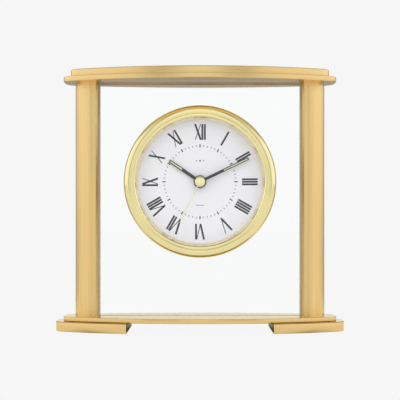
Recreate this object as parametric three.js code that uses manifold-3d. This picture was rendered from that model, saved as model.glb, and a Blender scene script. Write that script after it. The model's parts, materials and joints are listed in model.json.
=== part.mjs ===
// Mantel clock: bow-fronted metal frame, two pillars, glass panel, and a round quartz insert.
// Millimetres, +Z up, the dial faces -Y. Origin: on the resting surface, under the middle of the frame.
import * as THREE from 'three';
import { mergeVertices } from 'three/addons/utils/BufferGeometryUtils.js';
import Module from 'manifold-3d';

const wasm = await Module();
wasm.setup();

// ---------------------------------------------------------------- driving dimensions
// frame
const Y_FRONT = -28;              // apex of the bowed front of the plates
const PLATE_HALF = 85.5;          // half width of top plate and base plate
const PLATE_REAR = 28;            // apex of the slightly bowed backs
const BOW_R = 190;                // plan radius of the bowed fronts
const REAR_R = 320;               // plan radius of the bowed backs
const CAP_HALF = 81.1;
const CAP_INSET = 4;
const FOOT_OUT = 90.1;            // outer end of each foot
const FOOT_IN = 44.6;             // inner end of each foot
const FOOT_PROUD = 4;             // foot front stands this far forward of the base plate's bow
const FOOT_REAR = 31;
const Z_PAD = 0;
const Z_FOOT = 0.3;
const Z_RECESS = 1.0;             // top of the recess that each felt pad sits in
const Z_BASE = 6.4;
const Z_PILLAR = 9.3;
const Z_TOP = 155.9;
const Z_CAP = 159.1;
const Z_MAX = 163.8;
// pillars: convex front, inner side sloping in to the glass, flat back
const PILLAR_EDGE = 65.3;         // inner front corner
const PILLAR_IN = 64.0;           // inner side where it meets the glass
const PILLAR_OUT = 79.5;
const PILLAR_REAR = 16.5;
const PILLAR_ELLIPSE = { x: 67, y: 12.5, a: 12.5, b: 15.2 };
const ROD_X = 73.2;
const ROD_Y = 9;
const ROD_R = 1.5;
// glass panel
const GLASS_Y0 = 2;
const GLASS_Y1 = 6;
const GLASS_HALF = 66.9;
const GLASS_Z0 = 7.8;
const GLASS_Z1 = 156.9;
const GLASS_HOLE_R = 42;
const GROOVE_SLACK = 0.15;         // round the bare glass, in the base plate
const CHANNEL_SLACK = 0.8;         // round the glass in its glazing channel
const GROOVE_HALF = 67.4;
const GROOVE_TOP = 157.4;
// insert, on an axis along Y
const DIAL_Z = 93.6;
const RING_SEG = 40;
const BEZEL_R = 47.75;
const LENS_R = 42.0;
const LENS_Y0 = -6.6;
const LENS_Y1 = -5.3;
const DIAL_R = 40.2;
const DIAL_Y0 = 0;
const DIAL_Y1 = 0.6;
const WEB_Y1 = 1.8;
const CASE_R = 41.3;
const CASE_REAR = 21;
// movement
const MOVE_HALF = 28;
const MOVE_CORNER = 4;
const MOVE_WALL = 1.2;
const MOVE_PLATE_Y1 = 3.0;
const MOVE_REAR = 17.3;
const BAY_Z1 = -11.2;             // top of the battery bay
const BATTERY_R = 7.1;
const BATTERY_Y = 10.3;
const BATTERY_Z = -19.0;
// hands
const HOUR_ANGLE = 304.3;         // degrees clockwise from twelve
const MINUTE_ANGLE = 64.4;
const SECOND_ANGLE = 206.5;
// gear train: tooth counts and modules
const M_MOTION = 0.4;             // cannon pinion 12 / minute wheel 36 / setting pinion 12
const M_HOUR = 0.384;             // minute pinion 10 / hour wheel 40
const M_THIRD = 10.8 * 2 / 68;    // second pinion 8 / third wheel 60
const M_CENTRE = 10.8 * 2 / 72;   // third pinion 8 / centre wheel 64
const M_SECOND = 0.35;            // fifth pinion 6 / second wheel 36
const M_ROTOR = 0.35;             // rotor pinion 6 / fifth wheel 30
const polar = (r, deg) => [r * Math.cos(deg * Math.PI / 180), r * Math.sin(deg * Math.PI / 180)];
const plus = (a, b) => [a[0] + b[0], a[1] + b[1]];
const AXIS = [0, 0];
const MINUTE_WHEEL_AT = [-9.6, 0];
const KNOB_AT = plus(MINUTE_WHEEL_AT, polar(9.6, 120));
const THIRD_AT = polar(10.8, 60);
const FIFTH_AT = polar(7.35, -20);
const ROTOR_AT = plus(FIFTH_AT, polar(6.3, 20));

// ---------------------------------------------------------------- helpers
const V2 = (x, y) => new THREE.Vector2(x, y);

function tidy(geometry) {
  for (const name of Object.keys(geometry.attributes)) if (name !== 'position') geometry.deleteAttribute(name);
  const merged = mergeVertices(geometry, 1e-4);
  const index = merged.index.array;
  const p = merged.attributes.position;
  const kept = [];
  let volume = 0;
  for (let i = 0; i < index.length; i += 3) {
    const [a, b, c] = [index[i], index[i + 1], index[i + 2]];
    if (a === b || b === c || a === c) continue;
    kept.push(a, b, c);
    volume += p.getX(a) * (p.getY(b) * p.getZ(c) - p.getZ(b) * p.getY(c))
      - p.getY(a) * (p.getX(b) * p.getZ(c) - p.getZ(b) * p.getX(c))
      + p.getZ(a) * (p.getX(b) * p.getY(c) - p.getY(b) * p.getX(c));
  }
  if (volume < 0) for (let i = 0; i < kept.length; i += 3) [kept[i + 1], kept[i + 2]] = [kept[i + 2], kept[i + 1]];
  merged.setIndex(kept);
  return merged;
}

// moves every point by a rule, keeping the triangles
function remap(geometry, rule) {
  const p = geometry.attributes.position;
  for (let i = 0; i < p.count; i++) p.setXYZ(i, ...rule(p.getX(i), p.getY(i), p.getZ(i)));
  return tidy(geometry);
}

function solid(geometry) {
  const g = tidy(geometry.clone());
  return new wasm.Manifold(new wasm.Mesh({
    numProp: 3,
    vertProperties: new Float32Array(g.attributes.position.array),
    triVerts: new Uint32Array(g.index.array),
  }));
}

function surface(manifold) {
  const mesh = manifold.getMesh();
  const geometry = new THREE.BufferGeometry();
  geometry.setAttribute('position', new THREE.BufferAttribute(new Float32Array(mesh.vertProperties), 3));
  geometry.setIndex(Array.from(mesh.triVerts));
  return tidy(geometry);
}

function join(first, ...others) {
  let m = solid(first);
  for (const g of others) m = m.add(solid(g));
  return surface(m);
}

function cut(first, ...others) {
  let m = solid(first);
  for (const g of others) m = m.subtract(solid(g));
  return surface(m);
}

function shapeOf(points, holes = []) {
  const shape = new THREE.Shape(points);
  for (const h of holes) shape.holes.push(new THREE.Path(h));
  return shape;
}

// plan outline (x, y) raised from z0 to z1
function extrudeZ(points, z0, z1, holes) {
  const g = new THREE.ExtrudeGeometry(shapeOf(points, holes), { depth: z1 - z0, bevelEnabled: false });
  return remap(g, (x, y, z) => [x, y, z < (z1 - z0) / 2 ? z0 : z1]);
}

// elevation outline (x, z) running from y0 to y1
function extrudeY(points, y0, y1, holes) {
  const g = new THREE.ExtrudeGeometry(shapeOf(points, holes), { depth: y1 - y0, bevelEnabled: false });
  return remap(g, (x, z, d) => [x, d < (y1 - y0) / 2 ? y1 : y0, z]);
}

// profile of (radius, y) turned about the Y axis
function latheY(profile, segments = RING_SEG) {
  return tidy(new THREE.LatheGeometry(profile.map(([r, y]) => V2(r, y)), segments));
}
const closed = (profile) => [...profile, profile[0]];

function latheZ(profile, segments, x = 0, y = 0) {
  const g = new THREE.LatheGeometry(profile.map(([r, h]) => V2(r, h)), segments);
  return remap(g, (a, b, c) => [c + x, a + y, b]);
}

function latheX(profile, segments, y = 0, z = 0) {
  const g = new THREE.LatheGeometry(profile.map(([r, h]) => V2(r, h)), segments);
  return remap(g, (a, b, c) => [b, c + y, a + z]);
}

function circle(r, segments, [x, y] = [0, 0], turn = 0) {
  const out = [];
  for (let i = 0; i < segments; i++) {
    const a = turn + i * 2 * Math.PI / segments;
    out.push(V2(x + r * Math.sin(a), y + r * Math.cos(a)));
  }
  return out;
}

function discY(r, y0, y1, at, segments = 12) {
  return extrudeY(circle(r, segments, at).reverse(), y0, y1);
}

function ringY(rOut, rIn, y0, y1, at, segments = 12) {
  return extrudeY(circle(rOut, segments, at).reverse(), y0, y1, [circle(rIn, segments, at)]);
}

function boxAt(x0, x1, y0, y1, z0, z1) {
  const g = new THREE.BoxGeometry(x1 - x0, y1 - y0, z1 - z0);
  return remap(g, (x, y, z) => [x < 0 ? x0 : x1, y < 0 ? y0 : y1, z < 0 ? z0 : z1]);
}

// rounds the corners of a closed outline: points are [x, y, radius]
function rounded(points, steps = 4) {
  const out = [];
  const n = points.length;
  for (let i = 0; i < n; i++) {
    const [x, y, r = 0] = points[i];
    if (!r) { out.push(V2(x, y)); continue; }
    const before = points[(i + n - 1) % n];
    const after = points[(i + 1) % n];
    const u = V2(before[0] - x, before[1] - y).normalize();
    const v = V2(after[0] - x, after[1] - y).normalize();
    const half = Math.acos(THREE.MathUtils.clamp(u.dot(v), -1, 1)) / 2;
    const t = r / Math.tan(half);
    const centre = u.clone().add(v).normalize().multiplyScalar(r / Math.sin(half)).add(V2(x, y));
    const a = u.clone().multiplyScalar(t).add(V2(x, y)).sub(centre);
    const b = v.clone().multiplyScalar(t).add(V2(x, y)).sub(centre);
    let turn = Math.atan2(b.y, b.x) - Math.atan2(a.y, a.x);
    if (turn > Math.PI) turn -= 2 * Math.PI;
    if (turn < -Math.PI) turn += 2 * Math.PI;
    for (let k = 0; k <= steps; k++) {
      const c = a.clone().rotateAround(V2(0, 0), turn * k / steps);
      out.push(V2(centre.x + c.x, centre.y + c.y));
    }
  }
  return out;
}

// plan of a plate whose front and back edges are arcs about the frame's middle
function bowPlan(x0, x1, [apex, radius], [rear, rearRadius], [front0, front1, back0, back1], steps) {
  const points = [];
  for (let i = 0; i <= steps; i++) {
    const x = x0 + (x1 - x0) * i / steps;
    const end = i === 0 || i === steps;
    if (!end && (x - x0 < front0 || x1 - x < front1)) continue;
    points.push([x, apex + radius - Math.sqrt(radius * radius - x * x), end ? (i ? front1 : front0) : 0]);
  }
  for (let i = steps; i >= 0; i--) {
    const x = x0 + (x1 - x0) * i / steps;
    const end = i === 0 || i === steps;
    if (!end && (x - x0 < back0 || x1 - x < back1)) continue;
    points.push([x, rear - rearRadius + Math.sqrt(rearRadius * rearRadius - x * x), end ? (i ? back1 : back0) : 0]);
  }
  return rounded(points, 6);
}

function roundedBox(half, corner, z0 = -half, z1 = half, steps = 4) {
  return rounded([[-half, z0, corner], [half, z0, corner], [half, z1, corner], [-half, z1, corner]], steps);
}

// gear outline in (x, z); one tooth is centred on the phase angle
function gear(teeth, module_, at, phase, { add = 0.8, ded = 1.15, tip = 0.16, root = 0.5 } = {}) {
  const pitch = teeth * module_ / 2;
  const rTip = pitch + add * module_;
  const rRoot = pitch - ded * module_;
  const halfTip = tip * Math.PI * module_ / 2 / rTip;
  const halfRoot = root * Math.PI * module_ / 2 / pitch;
  const out = [];
  for (let k = 0; k < teeth; k++) {
    const a = phase + k * 2 * Math.PI / teeth;
    for (const [r, d] of [[rRoot, -halfRoot], [rTip, -halfTip], [rTip, halfTip], [rRoot, halfRoot]]) {
      out.push(V2(at[0] + r * Math.cos(a + d), at[1] + r * Math.sin(a + d)));
    }
  }
  return out;
}

// phase of a second gear that meshes with a first one
function meshPhase(from, fromTeeth, fromPhase, to, toTeeth) {
  const line = Math.atan2(to[1] - from[1], to[0] - from[0]);
  const t = (line - fromPhase) * fromTeeth / (2 * Math.PI);
  return line + Math.PI - (0.5 - t) * 2 * Math.PI / toTeeth;
}

// ---------------------------------------------------------------- materials
const metal = (color, roughness) => new THREE.MeshStandardMaterial({ color, roughness, metalness: 1 });
const plain = (color, roughness) => new THREE.MeshStandardMaterial({ color, roughness, metalness: 0 });
const GOLD_SATIN = metal(0xd9bd86, 0.38);
const GOLD_BRIGHT = metal(0xe6cf96, 0.12);
const BLACK_METAL = metal(0x1b1b1b, 0.4);
const STEEL = metal(0xb9bcc0, 0.35);
const COPPER = metal(0xb4673a, 0.45);
const NICKEL = metal(0xc9c6bd, 0.3);
const GLASS = new THREE.MeshStandardMaterial({ color: 0xeef4f2, roughness: 0.03, metalness: 0, transparent: true, opacity: 0.35 });
const DIAL_WHITE = plain(0xe2e3e6, 0.6);
const BLACK_PLASTIC = plain(0x17181a, 0.55);
const GREY_PLASTIC = plain(0x2b2c2f, 0.5);
const WHITE_PLASTIC = plain(0xe9e6dc, 0.5);
const RUBBER = plain(0x1a1a1a, 0.85);
const FELT = plain(0x2c2a28, 0.95);
const BOARD_GREEN = plain(0x2f6b45, 0.5);
const BATTERY_WRAP = plain(0x4a5560, 0.35);

const clock = new THREE.Group();
const frame = new THREE.Group();
const insert = new THREE.Group();
insert.position.set(0, 0, DIAL_Z);
const movement = new THREE.Group();
insert.add(movement);
clock.add(frame, insert);

function piece(parent, name, geometry, material) {
  geometry.computeVertexNormals();
  const mesh = new THREE.Mesh(geometry, material.clone());
  mesh.name = name;
  parent.add(mesh);
  return mesh;
}

// ---------------------------------------------------------------- frame
const sides = [['left', -1], ['right', 1]];
const CAP_SCREW = [42, 12];
const FOOT_SCREW = [55, 12];
const PADS = [['front', 66, -12], ['rear', 65, 17]];

{
  const plan = bowPlan(-CAP_HALF, CAP_HALF, [Y_FRONT + CAP_INSET, BOW_R - CAP_INSET], [PLATE_REAR - CAP_INSET, REAR_R - CAP_INSET], [8, 8, 9, 9], 22);
  const pilots = sides.map(([, s]) => latheZ([[0, Z_CAP - 1], [1.5, Z_CAP - 1], [1.5, Z_CAP + 3.2], [0, Z_CAP + 3.2]], 12, s * CAP_SCREW[0], CAP_SCREW[1]));
  piece(frame, 'cap_plate', cut(extrudeZ(plan, Z_CAP, Z_MAX), ...pilots), GOLD_SATIN);
}
{
  const plan = bowPlan(-PLATE_HALF, PLATE_HALF, [Y_FRONT, BOW_R], [PLATE_REAR, REAR_R], [10, 10, 12, 12], 22);
  const groove = boxAt(-GROOVE_HALF, GROOVE_HALF, GLASS_Y0 - CHANNEL_SLACK, GLASS_Y1 + CHANNEL_SLACK, Z_TOP - 1, GROOVE_TOP);
  const tools = [groove];
  for (const [, s] of sides) {
    tools.push(latheZ([[0, Z_TOP - 1], [1.8, Z_TOP - 1], [1.8, Z_TOP + 0.9], [3.6, Z_TOP + 0.9], [3.6, Z_CAP + 1], [0, Z_CAP + 1]], 12, s * ROD_X, ROD_Y));
    tools.push(latheZ([[0, Z_TOP - 1], [4.0, Z_TOP - 1], [1.6, Z_TOP + 1.6], [1.6, Z_CAP + 1], [0, Z_CAP + 1]], 12, s * CAP_SCREW[0], CAP_SCREW[1]));
  }
  piece(frame, 'top_plate', cut(extrudeZ(plan, Z_TOP, Z_CAP), ...tools), GOLD_SATIN);
}
{
  const plan = bowPlan(-PLATE_HALF, PLATE_HALF, [Y_FRONT, BOW_R], [PLATE_REAR, REAR_R], [10, 10, 12, 12], 22);
  const groove = boxAt(-GROOVE_HALF, GROOVE_HALF, GLASS_Y0 - GROOVE_SLACK, GLASS_Y1 + GROOVE_SLACK, GLASS_Z0, Z_PILLAR + 1);
  const tools = [groove];
  for (const [, s] of sides) {
    tools.push(latheZ([[0, Z_BASE - 1], [1.8, Z_BASE - 1], [1.8, Z_PILLAR + 1], [0, Z_PILLAR + 1]], 12, s * ROD_X, ROD_Y));
    tools.push(latheZ([[0, Z_BASE - 1], [1.5, Z_BASE - 1], [1.5, Z_BASE + 2.6], [0, Z_BASE + 2.6]], 12, s * FOOT_SCREW[0], FOOT_SCREW[1]));
  }
  piece(frame, 'base_plate', cut(extrudeZ(plan, Z_BASE, Z_PILLAR), ...tools), GOLD_SATIN);
}
for (const [side, s] of sides) {
  const [a, b] = s < 0 ? [-FOOT_OUT, -FOOT_IN] : [FOOT_IN, FOOT_OUT];
  const corners = s < 0 ? [11, 1.2, 16, 1.2] : [1.2, 11, 1.2, 16];
  const plan = bowPlan(a, b, [Y_FRONT - FOOT_PROUD, BOW_R + FOOT_PROUD], [FOOT_REAR, REAR_R + FOOT_PROUD], corners, 8);
  const tools = [
    ...PADS.map(([, x, y]) => latheZ([[0, Z_FOOT - 1], [5.8, Z_FOOT - 1], [5.8, Z_RECESS], [0, Z_RECESS]], 16, s * x, y)),
    latheZ([[0, Z_FOOT - 1], [4, Z_FOOT - 1], [4, 4], [1.8, 4], [1.8, Z_BASE + 1], [0, Z_BASE + 1]], 12, s * ROD_X, ROD_Y),
    latheZ([[0, Z_FOOT - 1], [4.2, Z_FOOT - 1], [1.6, Z_FOOT + 1.6], [1.6, Z_BASE + 1], [0, Z_BASE + 1]], 12, s * FOOT_SCREW[0], FOOT_SCREW[1]),
  ];
  piece(frame, `foot_${side}`, cut(extrudeZ(plan, Z_FOOT, Z_BASE), ...tools), GOLD_SATIN);
}
for (const [side, s] of sides) {
  const e = PILLAR_ELLIPSE;
  const outline = [];
  for (let i = 0; i <= 10; i++) {
    const t = Math.acos((PILLAR_EDGE - e.x) / e.a) * (1 - i / 10);
    outline.push([e.x + e.a * Math.cos(t), e.y - e.b * Math.sin(t), 0]);
  }
  outline[0][2] = 0.4;
  outline.push([PILLAR_OUT, PILLAR_REAR, 1.5], [PILLAR_EDGE, PILLAR_REAR, 1.2],
    [PILLAR_IN, GLASS_Y1 + CHANNEL_SLACK, 0], [GROOVE_HALF, GLASS_Y1 + CHANNEL_SLACK, 0], [GROOVE_HALF, GLASS_Y0 - CHANNEL_SLACK, 0], [PILLAR_IN, GLASS_Y0 - CHANNEL_SLACK, 0]);
  const cavity = [[69.4, 2.2], [73.0, 2.6], [76.0, 6.5], [77.3, 11], [77.3, 14.6], [69.4, 14.6]];
  const place = (pts) => {
    const out = pts.map((p) => V2(s * (p.x ?? p[0]), p.y ?? p[1]));
    return s < 0 ? out.reverse() : out;
  };
  piece(frame, `pillar_${side}`, extrudeZ(place(rounded(outline, 3)), Z_PILLAR, Z_TOP, [place(cavity).reverse()]), GOLD_SATIN);
  piece(frame, `tie_rod_${side}`, latheZ([[0, 1.2], [ROD_R, 1.2], [ROD_R, 159.0], [0, 159.0]], 12, s * ROD_X, ROD_Y), STEEL);
  const hex = circle(3.175, 6, [s * ROD_X, ROD_Y]).reverse();
  const bore = circle(ROD_R + 0.2, 12, [s * ROD_X, ROD_Y]);
  piece(frame, `upper_nut_${side}`, extrudeZ(hex, Z_TOP + 0.9, Z_CAP - 0.1, [bore]), STEEL);
  piece(frame, `lower_nut_${side}`, extrudeZ(hex, 1.6, 4.0, [bore]), STEEL);
  piece(frame, `cap_screw_${side}`, latheZ([[0, Z_TOP + 0.1], [2.9, Z_TOP + 0.1], [1.35, Z_TOP + 1.65], [1.35, Z_CAP + 2.9], [0, Z_CAP + 2.9]], 12, s * CAP_SCREW[0], CAP_SCREW[1]), STEEL);
  piece(frame, `foot_screw_${side}`, latheZ([[0, Z_FOOT + 0.1], [3.0, Z_FOOT + 0.1], [1.35, Z_FOOT + 1.75], [1.35, Z_BASE + 2.4], [0, Z_BASE + 2.4]], 12, s * FOOT_SCREW[0], FOOT_SCREW[1]), STEEL);
  for (const [place_, x, y] of PADS) {
    piece(frame, `foot_pad_${place_}_${side}`, latheZ([[0, Z_PAD], [5.5, Z_PAD], [5.5, Z_RECESS - 0.1], [0, Z_RECESS - 0.1]], 16, s * x, y), FELT);
  }
}
{
  const outline = rounded([[-GLASS_HALF, GLASS_Z0, 1], [GLASS_HALF, GLASS_Z0, 1], [GLASS_HALF, GLASS_Z1, 1], [-GLASS_HALF, GLASS_Z1, 1]], 2);
  piece(frame, 'glass_panel', extrudeY(outline, GLASS_Y0, GLASS_Y1, [circle(GLASS_HOLE_R, RING_SEG, [0, DIAL_Z])]), GLASS);
}

{
  // U-shaped channel round the sides and top of the glass; its lips show beside the pillars and under the top plate
  const outer = boxAt(-GROOVE_HALF + 0.1, GROOVE_HALF - 0.1, GLASS_Y0 - 0.7, GLASS_Y1 + 0.7, Z_PILLAR + 0.15, GROOVE_TOP - 0.1);
  const seat = boxAt(-GLASS_HALF - 0.1, GLASS_HALF + 0.1, GLASS_Y0 - 0.05, GLASS_Y1 + 0.05, Z_PILLAR - 1, GLASS_Z1 + 0.1);
  const window_ = boxAt(-PILLAR_IN + 0.9, PILLAR_IN - 0.9, GLASS_Y0 - 2, GLASS_Y1 + 2, Z_PILLAR - 1, Z_TOP - 0.8);
  piece(frame, 'glazing_channel', cut(outer, seat, window_), RUBBER);
}

// ---------------------------------------------------------------- round insert
piece(insert, 'bezel', latheY(closed([
  [BEZEL_R, -4.6], [47.35, -6.0], [46.5, -7.1], [45.2, -7.8], [43.9, -8.0], [43.1, -7.8],
  [42.9, -7.1], [42.3, -7.35], [41.4, -7.45], [40.6, -7.2], [40.3, -6.6],
  [42.2, -6.6], [42.2, 1.2], [46.9, 1.2], [47.4, 0.7],
])), GOLD_BRIGHT);
piece(insert, 'dial_glass', latheY([[0, LENS_Y0], [LENS_R, LENS_Y0], [LENS_R, LENS_Y1], [0, LENS_Y1]]), GLASS);
piece(insert, 'reflector_ring', latheY(closed([
  [40.3, LENS_Y1], [41.9, LENS_Y1], [41.9, -3.4], [40.35, -3.4], [40.35, DIAL_Y0], [38.7, DIAL_Y0],
])), GOLD_BRIGHT);
piece(insert, 'dial_plate', latheY(closed([[3.5, DIAL_Y0], [DIAL_R, DIAL_Y0], [DIAL_R, DIAL_Y1], [3.5, DIAL_Y1]])), DIAL_WHITE);
{
  const body = latheY(closed([
    [42.1, -3.4], [42.1, -2.0], [CASE_R, -2.0], [CASE_R, CASE_REAR], [38.6, CASE_REAR], [38.6, 20], [40.3, 20],
    [40.3, WEB_Y1], [3.5, WEB_Y1], [3.5, DIAL_Y1], [40.5, DIAL_Y1], [40.5, -3.4],
  ]));
  const hooks = sides.map(([, s]) => {
    const arm = boxAt(Math.min(s * 28.3, s * 29.8), Math.max(s * 28.3, s * 29.8), WEB_Y1 - 0.5, 18.6, -4, 4);
    const nose = boxAt(Math.min(s * 27, s * 29), Math.max(s * 27, s * 29), MOVE_REAR + 0.2, 18.6, -4, 4);
    return join(arm, nose);
  });
  piece(insert, 'insert_case', join(body, ...hooks), BLACK_PLASTIC);
}
piece(insert, 'gasket_ring', latheY(closed([[42.3, 1.2], [46.8, 1.2], [46.8, GLASS_Y0], [42.3, GLASS_Y0]])), RUBBER);
piece(insert, 'retaining_ring', latheY(closed([[41.5, GLASS_Y1], [45.2, GLASS_Y1], [45.2, 7.2], [44.4, 8.0], [41.5, 8.0]])), RUBBER);

// ---------------------------------------------------------------- hands
function along(u, v, degrees) {
  const a = degrees * Math.PI / 180;
  return [u * Math.cos(a) + v * Math.sin(a), -u * Math.sin(a) + v * Math.cos(a)];
}
function bar(points, degrees, y0, y1) {
  return extrudeY(points.map(([u, v]) => V2(...along(u, v, degrees))).reverse(), y0, y1);
}
function strip(width, from, to) {
  return [[-width / 2, from], [-width / 2, to], [width / 2, to], [width / 2, from]];
}
const HOUR_Y = [-1.9, -1.35];
const MINUTE_Y = [-3.1, -2.55];
const SECOND_Y = [-4.0, -3.75];
piece(insert, 'hour_hand', cut(join(discY(3.7, ...HOUR_Y, AXIS, 24), bar(strip(2.0, 0, 23.2), HOUR_ANGLE, ...HOUR_Y)), discY(2.6, -3, 0, AXIS, 16)), BLACK_METAL);
piece(insert, 'minute_hand', cut(join(discY(4.0, ...MINUTE_Y, AXIS, 24), bar(strip(1.8, 0, 33.8), MINUTE_ANGLE, ...MINUTE_Y)), discY(1.68, -4, -2, AXIS, 16)), BLACK_METAL);
{
  const cap = latheY([[0, -4.9], [2.2, -4.9], [3.1, -4.5], [3.3, -4.0], [3.3, -3.5], [0.68, -3.5], [0.68, -4.3], [0, -4.3]], 20);
  const needle = bar([[-0.3, 2.6], [-0.16, 28.8], [0.16, 28.8], [0.3, 2.6]], SECOND_ANGLE, ...SECOND_Y);
  piece(insert, 'second_hand', join(cap, needle), GOLD_BRIGHT);
}

// ---------------------------------------------------------------- quartz movement
const PHASE = {};
PHASE.minuteWheel = 0;
PHASE.cannon = meshPhase(MINUTE_WHEEL_AT, 36, PHASE.minuteWheel, AXIS, 12);
PHASE.knob = meshPhase(MINUTE_WHEEL_AT, 36, PHASE.minuteWheel, KNOB_AT, 12);
PHASE.minutePinion = 0;
PHASE.hour = meshPhase(MINUTE_WHEEL_AT, 10, PHASE.minutePinion, AXIS, 40);
PHASE.secondPinion = 0;
PHASE.third = meshPhase(AXIS, 8, PHASE.secondPinion, THIRD_AT, 60);
PHASE.thirdPinion = 0;
PHASE.centre = meshPhase(THIRD_AT, 8, PHASE.thirdPinion, AXIS, 64);
PHASE.second = 0;
PHASE.fifthPinion = meshPhase(AXIS, 36, PHASE.second, FIFTH_AT, 6);
PHASE.fifth = 0;
PHASE.rotor = meshPhase(FIFTH_AT, 30, PHASE.fifth, ROTOR_AT, 6);
const WHEEL = { add: 0.85, ded: 1.1, tip: 0.14, root: 0.46 };
const PINION = { add: 0.7, ded: 1.2, tip: 0.2, root: 0.5 };

piece(movement, 'hour_wheel', cut(
  join(extrudeY(gear(40, M_HOUR, AXIS, PHASE.hour, WHEEL), 3.2, 4.2), discY(2.4, HOUR_Y[0], 3.4, AXIS, 16)),
  discY(1.75, -3, 5, AXIS, 16)), WHITE_PLASTIC);
piece(movement, 'cannon_pinion', cut(
  join(extrudeY(gear(12, M_MOTION, AXIS, PHASE.cannon, PINION), 4.6, 5.6), discY(1.5, MINUTE_Y[0], 5.9, AXIS, 16)),
  discY(0.72, -4, 7, AXIS, 12)), NICKEL);
piece(movement, 'minute_wheel', cut(
  join(extrudeY(gear(36, M_MOTION, MINUTE_WHEEL_AT, PHASE.minuteWheel, WHEEL), 4.6, 5.6),
    extrudeY(gear(10, M_HOUR, MINUTE_WHEEL_AT, PHASE.minutePinion, PINION), 3.2, 4.8)),
  discY(0.8, 2, 7, MINUTE_WHEEL_AT, 12)), WHITE_PLASTIC);
piece(movement, 'centre_wheel', cut(
  join(extrudeY(gear(64, M_CENTRE, AXIS, PHASE.centre, WHEEL), 6.2, 7.0), discY(1.8, 6.05, 7.2, AXIS, 16)),
  discY(0.75, 5, 8, AXIS, 12)), WHITE_PLASTIC);
piece(movement, 'third_wheel', cut(
  join(extrudeY(gear(60, M_THIRD, THIRD_AT, PHASE.third, WHEEL), 7.6, 8.4),
    extrudeY(gear(8, M_CENTRE, THIRD_AT, PHASE.thirdPinion, PINION), 6.05, 7.8)),
  discY(0.56, 5, 9, THIRD_AT, 8)), WHITE_PLASTIC);
piece(movement, 'second_wheel', cut(
  join(discY(0.5, -4.1, 9.2, AXIS, 12), extrudeY(gear(8, M_THIRD, AXIS, PHASE.secondPinion, PINION), 7.4, 9.2),
    extrudeY(gear(36, M_SECOND, AXIS, PHASE.second, WHEEL), 9.0, 9.8), discY(1.4, 9.6, 12.8, AXIS, 12)),
  discY(0.8, 10.6, 14, AXIS, 12)), WHITE_PLASTIC);
piece(movement, 'fifth_wheel', cut(
  join(extrudeY(gear(6, M_SECOND, FIFTH_AT, PHASE.fifthPinion, PINION), 8.8, 10.6),
    extrudeY(gear(30, M_ROTOR, FIFTH_AT, PHASE.fifth, WHEEL), 10.4, 11.2), discY(1.2, 11.0, 12.6, FIFTH_AT, 12)),
  discY(0.68, 10.9, 14, FIFTH_AT, 12)), WHITE_PLASTIC);
piece(movement, 'rotor', cut(
  join(extrudeY(gear(6, M_ROTOR, ROTOR_AT, PHASE.rotor, PINION), 10.2, 12.0), discY(2.0, 11.8, 13.6, ROTOR_AT, 16)),
  discY(0.65, 12.1, 15, ROTOR_AT, 12)), GREY_PLASTIC);
piece(movement, 'setting_knob', join(
  extrudeY(gear(12, M_MOTION, KNOB_AT, PHASE.knob, PINION), 4.6, 5.6), discY(1.2, 4.6, 17.8, KNOB_AT, 12),
  discY(4.5, 17.6, 20.4, KNOB_AT, 20)), GREY_PLASTIC);

// front plate with the bush that the hand tubes pass through, and two wheel posts
piece(movement, 'movement_front_plate', cut(
  join(extrudeY(roundedBox(MOVE_HALF, MOVE_CORNER), WEB_Y1, MOVE_PLATE_Y1), discY(3.2, -0.6, 2.2, AXIS, 16),
    discY(0.55, 2.6, 5.85, MINUTE_WHEEL_AT, 10), discY(0.38, 2.6, 8.8, THIRD_AT, 8)),
  discY(2.65, -2, 4, AXIS, 16)), BLACK_PLASTIC);
{
  const H = MOVE_HALF;
  const W = MOVE_WALL;
  const shell = extrudeY(roundedBox(H, MOVE_CORNER), MOVE_PLATE_Y1, MOVE_REAR);
  const upper = extrudeY(roundedBox(H - W, MOVE_CORNER - W, BAY_Z1 + 1, H - W), MOVE_PLATE_Y1 - 1, MOVE_REAR - W);
  const bay = boxAt(-(H - W), H - W, MOVE_PLATE_Y1 - 1, MOVE_REAR + 1, -(H - W), BAY_Z1);
  const scoop = latheX([[0, -9], [7.6, -9], [7.6, 9], [0, 9]], 20, MOVE_REAR + 3.2, -28);
  const open = cut(shell, upper, bay, discY(1.6, 10, 20, KNOB_AT, 16), scoop);
  const y1 = MOVE_REAR - W + 0.4;
  piece(movement, 'movement_rear_case', join(open,
    discY(0.5, 10.9, y1, AXIS, 8), discY(0.42, 11.2, y1, FIFTH_AT, 8), discY(0.4, 12.4, y1, ROTOR_AT, 8),
    discY(0.9, 14.0, y1, [-22, 24], 8), discY(0.9, 14.0, y1, [4, 24], 8),
    discY(0.9, 13.2, y1, [11, 18.8], 8), discY(0.9, 13.2, y1, [11, -7.6], 8)), BLACK_PLASTIC);
}
{
  const outline = [[9.2, -9.2], [25, -9.2], [25, -6.2], [16.9, -6.2], [16.9, 17.2], [25, 17.2], [25, 20.5], [9.2, 20.5]].map(([x, z]) => V2(x, z));
  piece(movement, 'stator', extrudeY(outline, 12.2, 13.2, [circle(2.5, 16, ROTOR_AT)]), STEEL);
  piece(movement, 'coil_core', boxAt(19.9, 22.1, 13.2, 14.7, -9.0, 20.3), STEEL);
  const section = rounded([[17.4, 11.9, 1.4], [24.6, 11.9, 1.4], [24.6, 15.95, 1.4], [17.4, 15.95, 1.4]], 3);
  const hole = [[19.7, 13.0], [19.7, 14.9], [22.3, 14.9], [22.3, 13.0]].map(([x, y]) => V2(x, y));
  piece(movement, 'coil', extrudeZ(section, -6.0, 17.0, [hole]), COPPER);
}
piece(movement, 'circuit_board', boxAt(-24, 6, 13.0, 14.0, 12, 25.5), BOARD_GREEN);
piece(movement, 'quartz_crystal', latheX([[0, -10], [1.0, -10], [1.0, -3.5], [0, -3.5]], 12, 15.05, 20), NICKEL);
piece(movement, 'contact_positive', boxAt(26.0, 26.4, 4.5, 15.5, -24, -14), NICKEL);
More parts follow.
